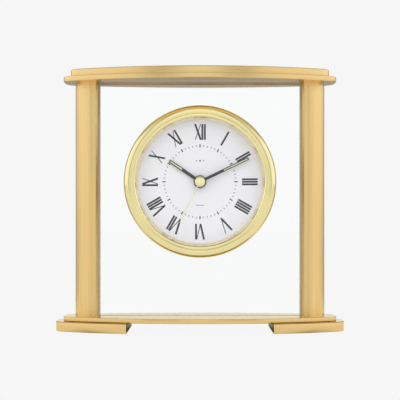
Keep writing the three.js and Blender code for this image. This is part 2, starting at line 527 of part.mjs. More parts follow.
piece(movement, 'contact_negative', latheX([[0, -26.4], [5.2, -26.4], [5.2, -26.0], [2.4, -24.9], [0, -24.9]], 16, BATTERY_Y, BATTERY_Z), NICKEL);
piece(movement, 'battery', latheX([
  [0, -24.6], [6.8, -24.6], [BATTERY_R, -24.3], [BATTERY_R, 24.2], [6.7, 24.6], [2.7, 24.6], [2.7, 25.6], [0, 25.6],
], 24, BATTERY_Y, BATTERY_Z), BATTERY_WRAP);

export default clock;
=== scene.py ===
# Mantel clock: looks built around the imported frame. Metres, +Z up, the dial faces -Y.
import json
import math

import bmesh
import bpy
from mathutils import Matrix, Vector


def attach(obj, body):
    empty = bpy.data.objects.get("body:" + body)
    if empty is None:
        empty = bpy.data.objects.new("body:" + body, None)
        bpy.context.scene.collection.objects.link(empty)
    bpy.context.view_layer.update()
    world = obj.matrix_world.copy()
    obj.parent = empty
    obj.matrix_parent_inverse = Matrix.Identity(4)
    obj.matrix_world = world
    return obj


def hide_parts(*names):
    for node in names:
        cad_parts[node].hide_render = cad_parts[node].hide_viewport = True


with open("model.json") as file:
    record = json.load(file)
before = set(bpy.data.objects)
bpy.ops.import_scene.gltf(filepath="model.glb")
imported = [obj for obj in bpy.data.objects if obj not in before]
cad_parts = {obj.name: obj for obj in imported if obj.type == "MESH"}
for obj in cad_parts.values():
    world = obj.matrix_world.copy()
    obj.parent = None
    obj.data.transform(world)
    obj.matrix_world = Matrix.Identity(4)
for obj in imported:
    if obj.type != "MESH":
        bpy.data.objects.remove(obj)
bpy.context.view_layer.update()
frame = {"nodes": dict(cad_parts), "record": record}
MM = 0.001
DIAL_Z = 93.6
scene = bpy.context.scene

# ------------------------------------------------------------------ camera
cam_data = bpy.data.cameras.new("camera")
cam_data.sensor_width = 36.0
cam_data.lens = 104.1
cam_data.shift_y = 0.0582
cam_data.clip_start = 0.02
cam_data.clip_end = 50
cam = bpy.data.objects.new("camera", cam_data)
cam.location = (0.0, -0.728, 0.0675)
cam.rotation_euler = (math.radians(90), 0, 0)
scene.collection.objects.link(cam)
scene.camera = cam
scene.view_settings.view_transform = "Standard"
scene.view_settings.look = "None"
scene.view_settings.exposure = 0.0
scene.view_settings.gamma = 1.0


# ------------------------------------------------------------------ shader helpers
def lin(r, g, b, a=1.0):
    def f(c):
        c /= 255.0
        return c / 12.92 if c <= 0.04045 else ((c + 0.055) / 1.055) ** 2.4
    return (f(r), f(g), f(b), a)


def scaled(c, k):
    return (min(c[0] * k, 1), min(c[1] * k, 1), min(c[2] * k, 1), 1)


class Nodes:
    def __init__(self, name):
        self.mat = bpy.data.materials.new(name)
        self.mat.use_nodes = True
        self.t = self.mat.node_tree
        self.t.nodes.clear()
        self.out = self.t.nodes.new("ShaderNodeOutputMaterial")
        self.bsdf = self.t.nodes.new("ShaderNodeBsdfPrincipled")
        self.link(self.bsdf.outputs[0], self.out.inputs[0])
        self.coord = self.t.nodes.new("ShaderNodeTexCoord")

    def link(self, a, b):
        self.t.links.new(a, b)

    def set(self, **values):
        for k, v in values.items():
            self.bsdf.inputs[k.replace("_", " ")].default_value = v
        return self

    def noise(self, scale, stretch=(1, 1, 1), detail=3.0, rough=0.5, offset=(0, 0, 0), source="Object"):
        m = self.t.nodes.new("ShaderNodeMapping")
        m.inputs["Scale"].default_value = stretch
        m.inputs["Location"].default_value = offset
        self.link(self.coord.outputs[source], m.inputs["Vector"])
        n = self.t.nodes.new("ShaderNodeTexNoise")
        n.inputs["Scale"].default_value = scale
        n.inputs["Detail"].default_value = detail
        n.inputs["Roughness"].default_value = rough
        self.link(m.outputs[0], n.inputs["Vector"])
        return n.outputs["Fac"]

    def spread(self, fac, lo, hi, a=0.3, b=0.7):
        m = self.t.nodes.new("ShaderNodeMapRange")
        m.inputs["From Min"].default_value = a
        m.inputs["From Max"].default_value = b
        m.inputs["To Min"].default_value = lo
        m.inputs["To Max"].default_value = hi
        self.link(fac, m.inputs["Value"])
        return m.outputs["Result"]

    def math(self, op, a, b):
        m = self.t.nodes.new("ShaderNodeMath")
        m.operation = op
        for i, v in enumerate((a, b)):
            if isinstance(v, (int, float)):
                m.inputs[i].default_value = v
            else:
                self.link(v, m.inputs[i])
        return m.outputs[0]

    def ramp(self, fac, stops):
        r = self.t.nodes.new("ShaderNodeValToRGB")
        e = r.color_ramp.elements
        while len(e) < len(stops):
            e.new(0.5)
        for el, (p, c) in zip(e, stops):
            el.position = p
            el.color = c
        self.link(fac, r.inputs[0])
        return r.outputs["Color"]

    def color(self, socket):
        self.link(socket, self.bsdf.inputs["Base Color"])

    def roughness(self, socket):
        self.link(socket, self.bsdf.inputs["Roughness"])

    def bump(self, *layers):
        """layers of (height socket, distance in metres, strength)"""
        normal = None
        for height, distance, strength in layers:
            b = self.t.nodes.new("ShaderNodeBump")
            b.inputs["Distance"].default_value = distance
            b.inputs["Strength"].default_value = strength
            self.link(height, b.inputs["Height"])
            if normal is not None:
                self.link(normal, b.inputs["Normal"])
            normal = b.outputs[0]
        self.link(normal, self.bsdf.inputs["Normal"])


def satin_gold(name, grain, color, rough=0.30, tone=0.06):
    """Satin metal with brush lines along one axis: grain is the stretch of the noise, small along the lines."""
    n = Nodes(name).set(Metallic=1.0)
    fine = n.noise(1.0, tuple(g * 6000 for g in grain), 2.0)
    medium = n.noise(1.0, tuple(g * 1500 for g in grain), 3.0, offset=(3.1, 1.7, 5.3))
    broad = n.noise(1.0, tuple(g * 260 + 6 for g in grain), 2.0, offset=(8.2, 4.4, 2.6))
    tint = n.math("ADD", n.math("MULTIPLY", medium, 0.55), n.math("MULTIPLY", broad, 0.45))
    n.color(n.ramp(tint, [(0.32, scaled(color, 1 - tone)), (0.5, color), (0.68, scaled(color, 1 + tone))]))
    n.roughness(n.spread(n.math("ADD", n.math("MULTIPLY", fine, 0.5), n.math("MULTIPLY", medium, 0.5)), rough - 0.02, rough + 0.04))
    n.bump((fine, 0.000006, 0.08), (medium, 0.00001, 0.08))
    return n.mat


GOLD = lin(238, 207, 144)
M = {}
M["gold_x"] = satin_gold("satin_gold_brushed_along_x", (0.012, 1, 1), GOLD, 0.25, 0.03)
M["gold_z"] = satin_gold("satin_gold_brushed_along_z", (1, 1, 0.012), GOLD, 0.34)


def polished_brass(name, color, rough=0.09):
    n = Nodes(name).set(Metallic=1.0)
    wipe = n.noise(90, (1, 1, 1), 4.0, 0.6)
    swirl = n.noise(2600, (1, 1, 1), 2.0)
    n.color(n.ramp(wipe, [(0.35, scaled(color, 0.97)), (0.65, scaled(color, 1.02))]))
    n.roughness(n.spread(wipe, rough - 0.03, rough + 0.05))
    n.bump((swirl, 0.000004, 0.12))
    return n.mat


BRASS = lin(249, 238, 182)
M["brass"] = polished_brass("polished_brass", BRASS)
M["brass_soft"] = polished_brass("satin_brass_ring", lin(250, 238, 206), 0.3)
# a dark brown colour painted on the seams and inner end faces of the gold feet and base: painted shade, not a separate
# metal
M["bronze"] = polished_brass("dark_bronze_edge", lin(120, 92, 48), 0.42)
M["vinyl"] = None


def glass(name, color, smear):
    """Clear glass; light for the surfaces behind it passes straight through."""
    n = Nodes(name).set(Transmission_Weight=1.0, IOR=1.5)
    n.bsdf.inputs["Base Color"].default_value = color
    dust = n.noise(55, (1, 1, 1), 5.0, 0.65)
    n.roughness(n.spread(dust, 0.0, smear, 0.5, 0.8))
    path = n.t.nodes.new("ShaderNodeLightPath")
    clear = n.t.nodes.new("ShaderNodeBsdfTransparent")
    clear.inputs["Color"].default_value = color
    mix = n.t.nodes.new("ShaderNodeMixShader")
    n.link(n.math("MAXIMUM", path.outputs["Is Shadow Ray"], path.outputs["Is Diffuse Ray"]), mix.inputs[0])
    n.link(n.bsdf.outputs[0], mix.inputs[1])
    n.link(clear.outputs[0], mix.inputs[2])
    n.link(mix.outputs[0], n.out.inputs[0])
    return n.mat


M["glass"] = glass("panel_glass", (0.985, 0.996, 0.992, 1), 0.015)
M["lens"] = glass("dial_glass_clear", (0.995, 1.0, 0.998, 1), 0.008)


def plastic(name, color, rough=0.5, grain=900, depth=0.00002):
    n = Nodes(name).set(Metallic=0.0)
    a = n.noise(grain, (1, 1, 1), 3.0)
    b = n.noise(40, (1, 1, 1), 3.0, offset=(2, 5, 1))
    n.color(n.ramp(b, [(0.3, scaled(color, 0.86)), (0.7, scaled(color, 1.16))]))
    n.roughness(n.spread(b, rough - 0.06, rough + 0.1))
    n.bump((a, depth, 0.5))
    return n.mat


def plated(name, color, rough=0.3, metallic=1.0):
    n = Nodes(name).set(Metallic=metallic)
    a = n.noise(700, (1, 1, 1), 4.0)
    b = n.noise(120, (1, 1, 1), 2.0, offset=(4, 1, 2))
    n.color(n.ramp(b, [(0.3, scaled(color, 0.9)), (0.7, scaled(color, 1.08))]))
    n.roughness(n.spread(a, rough - 0.08, rough + 0.1))
    n.bump((a, 0.00001, 0.3))
    return n.mat


def fabric(name, color):
    n = Nodes(name).set(Metallic=0.0, Roughness=0.95)
    n.set(Sheen_Weight=0.4)
    a = n.noise(2400, (1, 1, 0.6), 6.0, 0.7)
    n.color(n.ramp(a, [(0.3, scaled(color, 0.6)), (0.7, scaled(color, 1.5))]))
    n.bump((a, 0.0002, 0.8))
    return n.mat


M["black_plastic"] = plastic("moulded_black_plastic", lin(38, 38, 40), 0.5)
M["grey_plastic"] = plastic("satin_grey_plastic", lin(62, 63, 66), 0.42, 1400)
M["gear_plastic"] = plastic("natural_acetal", lin(232, 229, 218), 0.4, 1600, 0.00001)
M["rubber"] = plastic("black_rubber", lin(30, 30, 30), 0.75, 1200, 0.00004)
M["vinyl"] = plastic("bronze_grey_vinyl", lin(178, 162, 130), 0.4, 1400)
M["felt"] = fabric("pressed_felt", lin(52, 48, 44))
M["zinc"] = plated("zinc_plated_steel", lin(190, 192, 196), 0.34)
M["nickel"] = plated("nickel_plate", lin(205, 201, 190), 0.25)
M["core"] = plated("soft_iron", lin(140, 142, 146), 0.45)
M["board"] = plastic("green_solder_mask", lin(38, 96, 60), 0.35, 500, 0.00001)
M["hand_black"] = plastic("black_hand_paint", lin(20, 18, 16), 0.5, 2200, 0.000006)
M["lume"] = plastic("pale_luminous_paint", lin(222, 219, 200), 0.7, 3000, 0.00003)
M["ink"] = plastic("black_dial_ink", lin(16, 15, 20), 0.6, 2600, 0.000006)
M["ink_grey"] = plastic("grey_dial_ink", lin(84, 84, 92), 0.55, 2600, 0.000006)
for name in ("hand_black", "ink", "ink_grey"):
    M[name].node_tree.nodes["Principled BSDF"].inputs["Specular IOR Level"].default_value = 0.15
M["sleeve_dark"] = plastic("dark_battery_sleeve", lin(34, 36, 42), 0.28, 1800, 0.000006)
M["sleeve_gold"] = plated("copper_battery_band", lin(196, 142, 86), 0.3)
M["white_mark"] = plastic("white_moulding_print", lin(206, 206, 204), 0.5, 1500, 0.00001)


def coil_wire():
    n = Nodes("enamelled_copper_wire").set(Metallic=0.9)
    w = n.t.nodes.new("ShaderNodeTexWave")
    w.inputs["Scale"].default_value = 900
    w.bands_direction = "Z"
    n.link(n.coord.outputs["Object"], w.inputs["Vector"])
    c = lin(196, 112, 60)
    # the colour runs from half to full brightness across each turn: painted shade in the grooves between the windings
    n.color(n.ramp(w.outputs["Fac"], [(0.0, scaled(c, 0.5)), (1.0, scaled(c, 1.1))]))
    n.roughness(n.spread(w.outputs["Fac"], 0.25, 0.45, 0, 1))
    n.bump((w.outputs["Fac"], 0.00005, 0.6))
    return n.mat


M["coil"] = coil_wire()


def dial_paint():
    n = Nodes("silvery_white_dial").set(Metallic=0.0)
    grain = n.noise(3200, (1, 1, 1), 2.0)
    cloud = n.noise(18, (1, 1, 1), 2.0, offset=(1, 1, 4))
    c = lin(232, 232, 239)
    n.color(n.ramp(n.math("ADD", n.math("MULTIPLY", grain, 0.4), n.math("MULTIPLY", cloud, 0.6)),
                   [(0.3, scaled(c, 0.97)), (0.7, scaled(c, 1.02))]))
    n.roughness(n.spread(grain, 0.4, 0.52))
    n.bump((grain, 0.000006, 0.3))
    return n.mat


M["dial"] = dial_paint()


# ------------------------------------------------------------------ mesh helpers
def finish_mesh(name, bm, material, sharp=34, recalc=True):
    bmesh.ops.remove_doubles(bm, verts=bm.verts, dist=1e-7)
    if recalc:
        bmesh.ops.recalc_face_normals(bm, faces=bm.faces)
    me = bpy.data.meshes.new(name)
    bm.to_mesh(me)
    bm.free()
    for p in me.polygons:
        p.use_smooth = True
    me.set_sharp_from_angle(angle=math.radians(sharp))
    me.materials.append(material)
    o = bpy.data.objects.new(name, me)
    scene.collection.objects.link(o)
    return o


def tube_of_loops(name, loops, material, caps=True, ring=False, sharp=34):
    """Loops of equal length, in metres, joined in order. ring joins the last to the first."""
    bm = bmesh.new()
    rows = [[bm.verts.new(p) for p in loop] for loop in loops]
    n = len(loops[0])
    pairs = list(zip(rows, rows[1:])) + ([(rows[-1], rows[0])] if ring else [])
    for a, b in pairs:
        for i in range(n):
            j = (i + 1) % n
            bm.faces.new((a[i], a[j], b[j], b[i]))
    if caps and not ring:
        bm.faces.new(rows[0][::-1])
        bm.faces.new(rows[-1])
    return finish_mesh(name, bm, material, sharp)


def rounded(points, steps=6):
    """Points are (x, y) or (x, y, radius); returns the outline with arcs at the corners."""
    out = []
    n = len(points)
    for i, p in enumerate(points):
        r = p[2] if len(p) > 2 else 0
        c = Vector(p[:2])
        if not r:
            out.append(tuple(c))
            continue
        u = (Vector(points[i - 1][:2]) - c).normalized()
        v = (Vector(points[(i + 1) % n][:2]) - c).normalized()
        half = math.acos(max(-1, min(1, u.dot(v)))) / 2
        t = r / math.tan(half)
        centre = c + (u + v).normalized() * (r / math.sin(half))
        a, b = c + u * t - centre, c + v * t - centre
        a0, a1 = math.atan2(a.y, a.x), math.atan2(b.y, b.x)
        d = a1 - a0
        while d > math.pi:
            d -= 2 * math.pi
        while d < -math.pi:
            d += 2 * math.pi
        for k in range(steps + 1):
            t_ = a0 + d * k / steps
            out.append((centre.x + r * math.cos(t_), centre.y + r * math.sin(t_)))
    return out


def area(points):
    return sum(points[i - 1][0] * p[1] - p[0] * points[i - 1][1] for i, p in enumerate(points)) / 2


def inset(points, d):
    """The outline moved inwards by d, by its vertex normals."""
    s = 1 if area(points) > 0 else -1
    out = []
    n = len(points)
    for i, p in enumerate(points):
        a, b, c = Vector(points[i - 1]), Vector(p), Vector(points[(i + 1) % n])
        e1, e2 = (b - a).normalized(), (c - b).normalized()
        n1, n2 = Vector((-e1.y, e1.x)) * s, Vector((-e2.y, e2.x)) * s
        m = (n1 + n2).normalized()
        k = 1 / max(0.4, m.dot(n1))
        out.append(tuple(b + m * d * k))
    return out


def bow_plan(x0, x1, front, back, corners, steps=44):
    """Plan of a plate with arcs at the front and the back: front and back are (apex, radius), corners are front 0, 1 and back 0, 1."""
    (apex, rf), (rear, rb), (f0, f1, b0, b1) = front, back, corners
    pts = []
    for i in range(steps + 1):
        x = x0 + (x1 - x0) * i / steps
        end = i in (0, steps)
        if not end and (x - x0 < f0 or x1 - x < f1):
            continue
        pts.append((x, apex + rf - math.sqrt(rf * rf - x * x), (f1 if i else f0) if end else 0))
    for i in range(steps, -1, -1):
        x = x0 + (x1 - x0) * i / steps
        end = i in (0, steps)
        if not end and (x - x0 < b0 or x1 - x < b1):
            continue
        pts.append((x, rear - rb + math.sqrt(rb * rb - x * x), (b1 if i else b0) if end else 0))
    return rounded(pts, 14)


PLACE = {
    "Z": lambda u, v, w: (u * MM, v * MM, w * MM),
    "Y": lambda u, v, w: (u * MM, w * MM, v * MM),
    "X": lambda u, v, w: (w * MM, u * MM, v * MM),
}


def prism(name, outline, w0, w1, material, axis="Z", bevel=0.4, bevel_top=None, segs=3, sharp=34):
    """An outline raised along an axis, with rounded edges at both ends."""
    top = bevel if bevel_top is None else bevel_top
    place = PLACE[axis]
    loops = []

    def step(b, w, sign):
        for k in range(segs + 1):
            t = math.pi / 2 * k / segs
            yield b * (1 - math.sin(t)), w + sign * b * (1 - math.cos(t))
    rows = list(step(bevel, w0, 1)) if bevel else [(0, w0)]
    rows += list(step(top, w1, -1))[::-1] if top else [(0, w1)]
    for d, w in rows:
        loops.append([place(u, v, w) for u, v in (inset(outline, d) if d > 1e-9 else outline)])
    return tube_of_loops(name, loops, material, sharp=sharp)


def revolve(name, profile, material, segs=160, axis="Y", at=(0, 0, 0), sharp=30, closed=True):
    """A profile of (radius, height) in mm turned about an axis through at."""
    bm = bmesh.new()
    c = Vector(at)
    rows = []
    for r, h in profile:
        if r < 1e-9:
            p = {"Y": (0, h, 0), "Z": (0, 0, h), "X": (h, 0, 0)}[axis]
            rows.append([bm.verts.new((Vector(p) + c) * MM)])
            continue
        row = []
        for i in range(segs):
            a = 2 * math.pi * i / segs
            s, t = r * math.sin(a), r * math.cos(a)
            p = {"Y": (s, h, t), "Z": (s, t, h), "X": (h, s, t)}[axis]
            row.append(bm.verts.new((Vector(p) + c) * MM))
        rows.append(row)
    pairs = list(zip(rows, rows[1:])) + ([(rows[-1], rows[0])] if closed else [])
    for a, b in pairs:
        if len(a) == 1 and len(b) == 1:
            continue
        for i in range(segs):
            j = (i + 1) % segs
            if len(a) == 1:
                bm.faces.new((a[0], b[j], b[i]))
            elif len(b) == 1:
                bm.faces.new((a[i], a[j], b[0]))
            else:
                bm.faces.new((a[i], a[j], b[j], b[i]))
    return finish_mesh(name, bm, material, sharp)


def box(name, lo, hi, material, bevel=0.0, segs=2):
    (x0, y0, z0), (x1, y1, z1) = lo, hi
    if bevel:
        return prism(name, rounded([(x0, y0, bevel), (x1, y0, bevel), (x1, y1, bevel), (x0, y1, bevel)], 3), z0, z1, material, "Z", bevel, segs=segs)
    return prism(name, [(x0, y0), (x1, y0), (x1, y1), (x0, y1)], z0, z1, material, "Z", 0)


def boolean(target, tools, operation="DIFFERENCE", sharp=34):
    for t in tools:
        m = target.modifiers.new("cut", "BOOLEAN")
        m.operation = operation
        m.solver = "EXACT"
        m.object = t
    bpy.context.view_layer.update()
    dg = bpy.context.evaluated_depsgraph_get()
    me = bpy.data.meshes.new_from_object(target.evaluated_get(dg))
    target.modifiers.clear()
    old = target.data
    target.data = me
    me.name = target.name
    bpy.data.meshes.remove(old)
    for t in tools:
        data = t.data
        bpy.data.objects.remove(t)
        bpy.data.meshes.remove(data)
    me.set_sharp_from_angle(angle=math.radians(sharp))
    while len(me.materials) > 1:
        me.materials.pop()
    for p in me.polygons:
        p.use_smooth = True
        p.material_index = 0
    return target


def joined(name, objects):
    """One object from several, keeping each one's faces and materials."""
    mats = []
    bm = bmesh.new()
    for o in objects:
        idx = []
        for m in o.data.materials:
            if m not in mats:
                mats.append(m)
            idx.append(mats.index(m))
        start = len(bm.faces)
        bm.from_mesh(o.data)
        bm.faces.ensure_lookup_table()
        for f in bm.faces[start:]:
            f.material_index = idx[f.material_index] if f.material_index < len(idx) else 0
    me = bpy.data.meshes.new(name)
    bm.to_mesh(me)
    bm.free()
    for m in mats:
        me.materials.append(m)
    for o in objects:
        data = o.data
        bpy.data.objects.remove(o)
        bpy.data.meshes.remove(data)
    o = bpy.data.objects.new(name, me)
    scene.collection.objects.link(o)
    return o


def cylinder(name, r, w0, w1, material, axis="Z", at=(0, 0, 0), segs=48, bevel=0.0):
    if bevel:
        prof = [(0, w0), (r - bevel, w0), (r, w0 + bevel), (r, w1 - bevel), (r - bevel, w1), (0, w1)]
    else:
        prof = [(0, w0), (r, w0), (r, w1), (0, w1)]
    return revolve(name, prof, material, segs, axis, at, closed=False)


def cone(name, prof, material, axis="Z", at=(0, 0, 0), segs=48):
    return revolve(name, prof, material, segs, axis, at, closed=False)


def own(piece, body, slot, *nodes):
    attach(piece, body)
    if nodes:
        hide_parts(*nodes)
    return piece


# ------------------------------------------------------------------ frame plates, feet, pillars
ROD = (73.2, 9.0)
CAP_SCREW = (42.0, 12.0)
FOOT_SCREW = (55.0, 12.0)
PADS = ((66, -12), (65, 17))
SIDES = (("left", -1), ("right", 1))
PLATE = bow_plan(-85.5, 85.5, (-28, 190), (28, 320), (10, 10, 12, 12))


def paint_faces(o, material, test):
    """Gives the faces that pass the test another material."""
    o.data.materials.append(material)
    k = len(o.data.materials) - 1
    for p in o.data.polygons:
        if test(p.center / MM, p.normal):
            p.material_index = k
    return o


cap = prism("cap_plate_satin", bow_plan(-81.1, 81.1, (-24, 186), (24, 316), (8, 8, 9, 9)), 159.1, 163.8, M["gold_x"], bevel=0.35, bevel_top=0.6, segs=4)
own(cap, "frame", "satin_gold", "cap_plate")

top = prism("top_plate_satin", PLATE, 155.9, 159.1, M["gold_x"], bevel=0.4, segs=4)
tools = [box("t", (-67.4, 1.2, 155), (67.4, 6.8, 157.4), M["gold_x"])]
for _, s in SIDES:
    tools.append(cone("t", [(0, 154), (5.6, 154), (1.6, 157.5), (1.6, 158.9), (0, 158.9)], M["gold_x"], at=(s * CAP_SCREW[0], CAP_SCREW[1], 0)))
top = boolean(top, tools)
own(top, "frame", "satin_gold", "top_plate")

base = prism("base_plate_satin", PLATE, 6.4, 9.3, M["gold_x"], bevel=0.65, bevel_top=0.4, segs=4)
base = boolean(base, [box("t", (-67.4, 1.85, 7.8), (67.4, 6.15, 10), M["gold_x"])])
# the bottom bevel of the base over the feet is coloured dark: painted shade in the seam where the base sits on the feet
paint_faces(base, M["bronze"], lambda c, n: c.z < 6.75 and abs(c.x) > 45 and n.z > -0.98)
own(base, "frame", "satin_gold", "base_plate")

for side, s in SIDES:
    x0, x1, corners = (-90.1, -44.6, (11, 1.2, 16, 1.2)) if s < 0 else (44.6, 90.1, (1.2, 11, 1.2, 16))
    foot = prism(f"foot_{side}_satin", bow_plan(x0, x1, (-32, 194), (31, 324), corners, 30), 0.3, 6.4, M["gold_x"], bevel=0.45, bevel_top=0.32, segs=4)
    tools = [
        cone("t", [(0, -1), (4.0, -1), (4.0, 4.0), (0, 4.0)], M["gold_x"], at=(s * ROD[0], ROD[1], 0)),
        cone("t", [(0, -0.7), (5.2, -0.7), (1.6, 1.9), (1.6, 7.2), (0, 7.2)], M["gold_x"], at=(s * FOOT_SCREW[0], FOOT_SCREW[1], 0)),
    ]
    tools += [cylinder("t", 5.8, -1, 1.0, M["gold_x"], at=(s * x, y, 0)) for x, y in PADS]
    foot = boolean(foot, tools)
    # the inner end face of each foot and its top bevel are coloured dark: painted shade on the end face and in the seam
    # under the base
    paint_faces(foot, M["bronze"], lambda c, n, s=s: (n.x * s < -0.8 and abs(c.x) < 46) or (c.z > 6.09 and n.z < 0.98))
    own(foot, "frame", "satin_gold", f"foot_{side}")

for side, s in SIDES:
    ex, ey, ea, eb = (67.0, 12.5, 12.5, 15.2)
    pts = []
    start = math.acos((65.3 - ex) / ea)
    for i in range(37):
        t = start * (1 - i / 36)
        pts.append((ex + ea * math.cos(t), ey - eb * math.sin(t)))
    pts[0] = (pts[0][0], pts[0][1], 0.3)
    pts += [(79.5, 16.5, 1.5), (65.3, 16.5, 1.2), (64.0, 6.8), (67.4, 6.8), (67.4, 1.2), (64.0, 1.2)]
    outline = [(s * x, y) for x, y in rounded(pts, 5)]
    pillar = prism(f"pillar_{side}_satin", outline, 9.3, 155.9, M["gold_z"], bevel=0.0, segs=2, sharp=28)
    own(pillar, "frame", "satin_gold", f"pillar_{side}")


def glazing_channel():
    """The U-shaped vinyl channel round the glass, swept down one side, over the top and down the other."""
    lip, seat, outer, foot_z = 63.1, 67.0, 67.3, 9.45
    z_lip, z_seat, z_outer = 155.1, 157.0, 157.3
    section = [(seat, z_seat, 1.95), (lip, z_lip, 1.95), (lip - 0.0, z_lip - 0.0, 1.42), (lip + 0.12, z_lip + 0.12, 1.3), (outer, z_outer, 1.3), (outer, z_outer, 6.7),
               (lip + 0.12, z_lip + 0.12, 6.7), (lip, z_lip, 6.58), (lip, z_lip, 6.05), (seat, z_seat, 6.05)]
    stations = [lambda x, z: (-x, foot_z), lambda x, z: (-x, z), lambda x, z: (x, z), lambda x, z: (x, foot_z)]
    loops = []
    for st in stations:
        loops.append([(st(x, z)[0] * MM, y * MM, st(x, z)[1] * MM) for x, z, y in section])
    return tube_of_loops("glazing_channel_vinyl", loops, M["vinyl"], sharp=20)


own(glazing_channel(), "frame", "glazing_strip", "glazing_channel")

# ------------------------------------------------------------------ glass panel
def glass_panel():
    """A sheet with a round hole and arrised edges, built from matching outer and inner loops."""
    n = 192
    y0, y1, c = 2.0, 6.0, 0.25
    lo, hi = (-66.9, 7.8), (66.9, 156.9)

    def outer(d):
        out = []
        for i in range(n):
            a = 2 * math.pi * i / n
            dx, dz = math.sin(a), math.cos(a)
            k = min(((hi[0] - d) if dx > 0 else (lo[0] + d)) / dx if abs(dx) > 1e-9 else 1e9,
                    ((hi[1] - d - DIAL_Z) if dz > 0 else (lo[1] + d - DIAL_Z)) / dz if abs(dz) > 1e-9 else 1e9)
            out.append([dx * k, DIAL_Z + dz * k])
        for cx in (lo[0] + d, hi[0] - d):
            for cz in (lo[1] + d, hi[1] - d):
                j = min(range(n), key=lambda i: (out[i][0] - cx) ** 2 + (out[i][1] - cz) ** 2)
                out[j] = [cx, cz]
        return out

    def inner(r):
        return [[r * math.sin(2 * math.pi * i / n), DIAL_Z + r * math.cos(2 * math.pi * i / n)] for i in range(n)]
    r = 42.0
    stack = [(outer(c), y0), (outer(0), y0 + c), (outer(0), y1 - c), (outer(c), y1),
             (inner(r + c), y1), (inner(r), y1 - c), (inner(r), y0 + c), (inner(r + c), y0)]
    loops = [[(x * MM, y * MM, z * MM) for x, z in loop] for loop, y in stack]
    return tube_of_loops("glass_panel_clear", loops, M["glass"], ring=True, sharp=20)


own(glass_panel(), "frame", "panel_glass", "glass_panel")

# ------------------------------------------------------------------ bezel, lens, reflector, dial
C = (0, 0, DIAL_Z)


def arc(cx, cy, r, a0, a1, n):
    return [(cx + r * math.cos(math.radians(a0 + (a1 - a0) * i / n)), cy + r * math.sin(math.radians(a0 + (a1 - a0) * i / n))) for i in range(n + 1)]


def smooth(points, steps=5):
    """A Catmull-Rom curve through the points."""
    out = []
    p = [points[0]] + points + [points[-1]]
    for i in range(1, len(p) - 2):
        for k in range(steps):
            t = k / steps
            out.append(tuple(0.5 * (2 * p[i][j] + (p[i + 1][j] - p[i - 1][j]) * t + (2 * p[i - 1][j] - 5 * p[i][j] + 4 * p[i + 1][j] - p[i + 2][j]) * t * t
                             + (3 * p[i][j] - p[i - 1][j] - 3 * p[i + 1][j] + p[i + 2][j]) * t ** 3) for j in (0, 1)))
    out.append(points[-1])
    return out


bezel_profile = (
    smooth([(47.4, 0.7), (47.7, -1.5), (47.75, -4.2), (47.4, -5.9), (46.5, -7.1), (45.2, -7.78), (43.95, -8.0), (43.3, -7.93)], 6)
    + [(43.14, -7.8), (43.06, -6.75), (42.86, -6.75), (42.8, -7.1)]
    + smooth([(42.7, -7.18), (42.2, -7.38), (41.5, -7.44), (40.9, -7.28), (40.45, -6.95), (40.3, -6.6)], 5)
    + [(42.2, -6.6), (42.2, 1.2), (46.9, 1.2)])
bezel = revolve("bezel_polished", bezel_profile, M["brass"], 240, "Y", C, sharp=40)
own(bezel, "frame", "polished_brass", "bezel")

lens = revolve("dial_glass_flat", [(0, -6.6), (41.8, -6.6), (42.0, -6.4), (42.0, -5.5), (41.8, -5.3), (0, -5.3)], M["lens"], 160, "Y", C, closed=False)
own(lens, "frame", "lens_glass", "dial_glass")

reflector = revolve("reflector_ring_gold", [(40.3, -5.3), (41.9, -5.3), (41.9, -3.4), (40.35, -3.4), (40.35, 0.0), (38.7, 0.0)]
                    + smooth([(38.72, -0.35), (38.95, -1.6), (39.25, -2.5), (39.32, -2.75), (39.5, -2.8), (39.62, -3.1), (39.95, -4.3), (40.22, -5.1)], 4), M["brass_soft"], 200, "Y", C)
own(reflector, "frame", "polished_brass", "reflector_ring")

dial = revolve("dial_plate_painted", [(3.5, 0.0), (40.2, 0.0), (40.2, 0.6), (3.5, 0.6)], M["dial"], 160, "Y", C)
own(dial, "frame", "dial_paint", "dial_plate")


def along(u, v, degrees):
    a = math.radians(degrees)
    return (u * math.cos(a) + v * math.sin(a), -u * math.sin(a) + v * math.cos(a))


def plaques(name, shapes, y0, y1, material):
    """Flat shapes on the dial: each a convex outline of (x, z) about the dial's centre."""
    bm = bmesh.new()
    for pts in shapes:
        if area(pts) < 0:
            pts = pts[::-1]
        a = [bm.verts.new((x * MM, y0 * MM, (z + DIAL_Z) * MM)) for x, z in pts]
        b = [bm.verts.new((x * MM, y1 * MM, (z + DIAL_Z) * MM)) for x, z in pts]
        n = len(pts)
        bm.faces.new(a)
        bm.faces.new(b[::-1])
        for i in range(n):
            j = (i + 1) % n
            bm.faces.new((a[j], a[i], b[i], b[j]))
    me = bpy.data.meshes.new(name)
    bm.to_mesh(me)
    bm.free()
    me.materials.append(material)
    o = bpy.data.objects.new(name, me)
    scene.collection.objects.link(o)
    return o


def stroke(u0, u1, r0, r1, t, degrees):
    """A stroke from (u0, r0) at the foot to (u1, r1) at the head, cut level at both ends."""
    h = t / 2
    slope = math.hypot(u1 - u0, r1 - r0) / (r1 - r0)
    h *= slope
    return [along(u0 - h, r0, degrees), along(u0 + h, r0, degrees), along(u1 + h, r1, degrees), along(u1 - h, r1, degrees)]


THICK, THIN, PITCH = 1.18, 0.48, 1.58
R0, R1 = 26.4, 36.3
NUMERALS = ["XII", "I", "II", "III", "IIII", "V", "VI", "VII", "VIII", "IX", "X", "XI"]


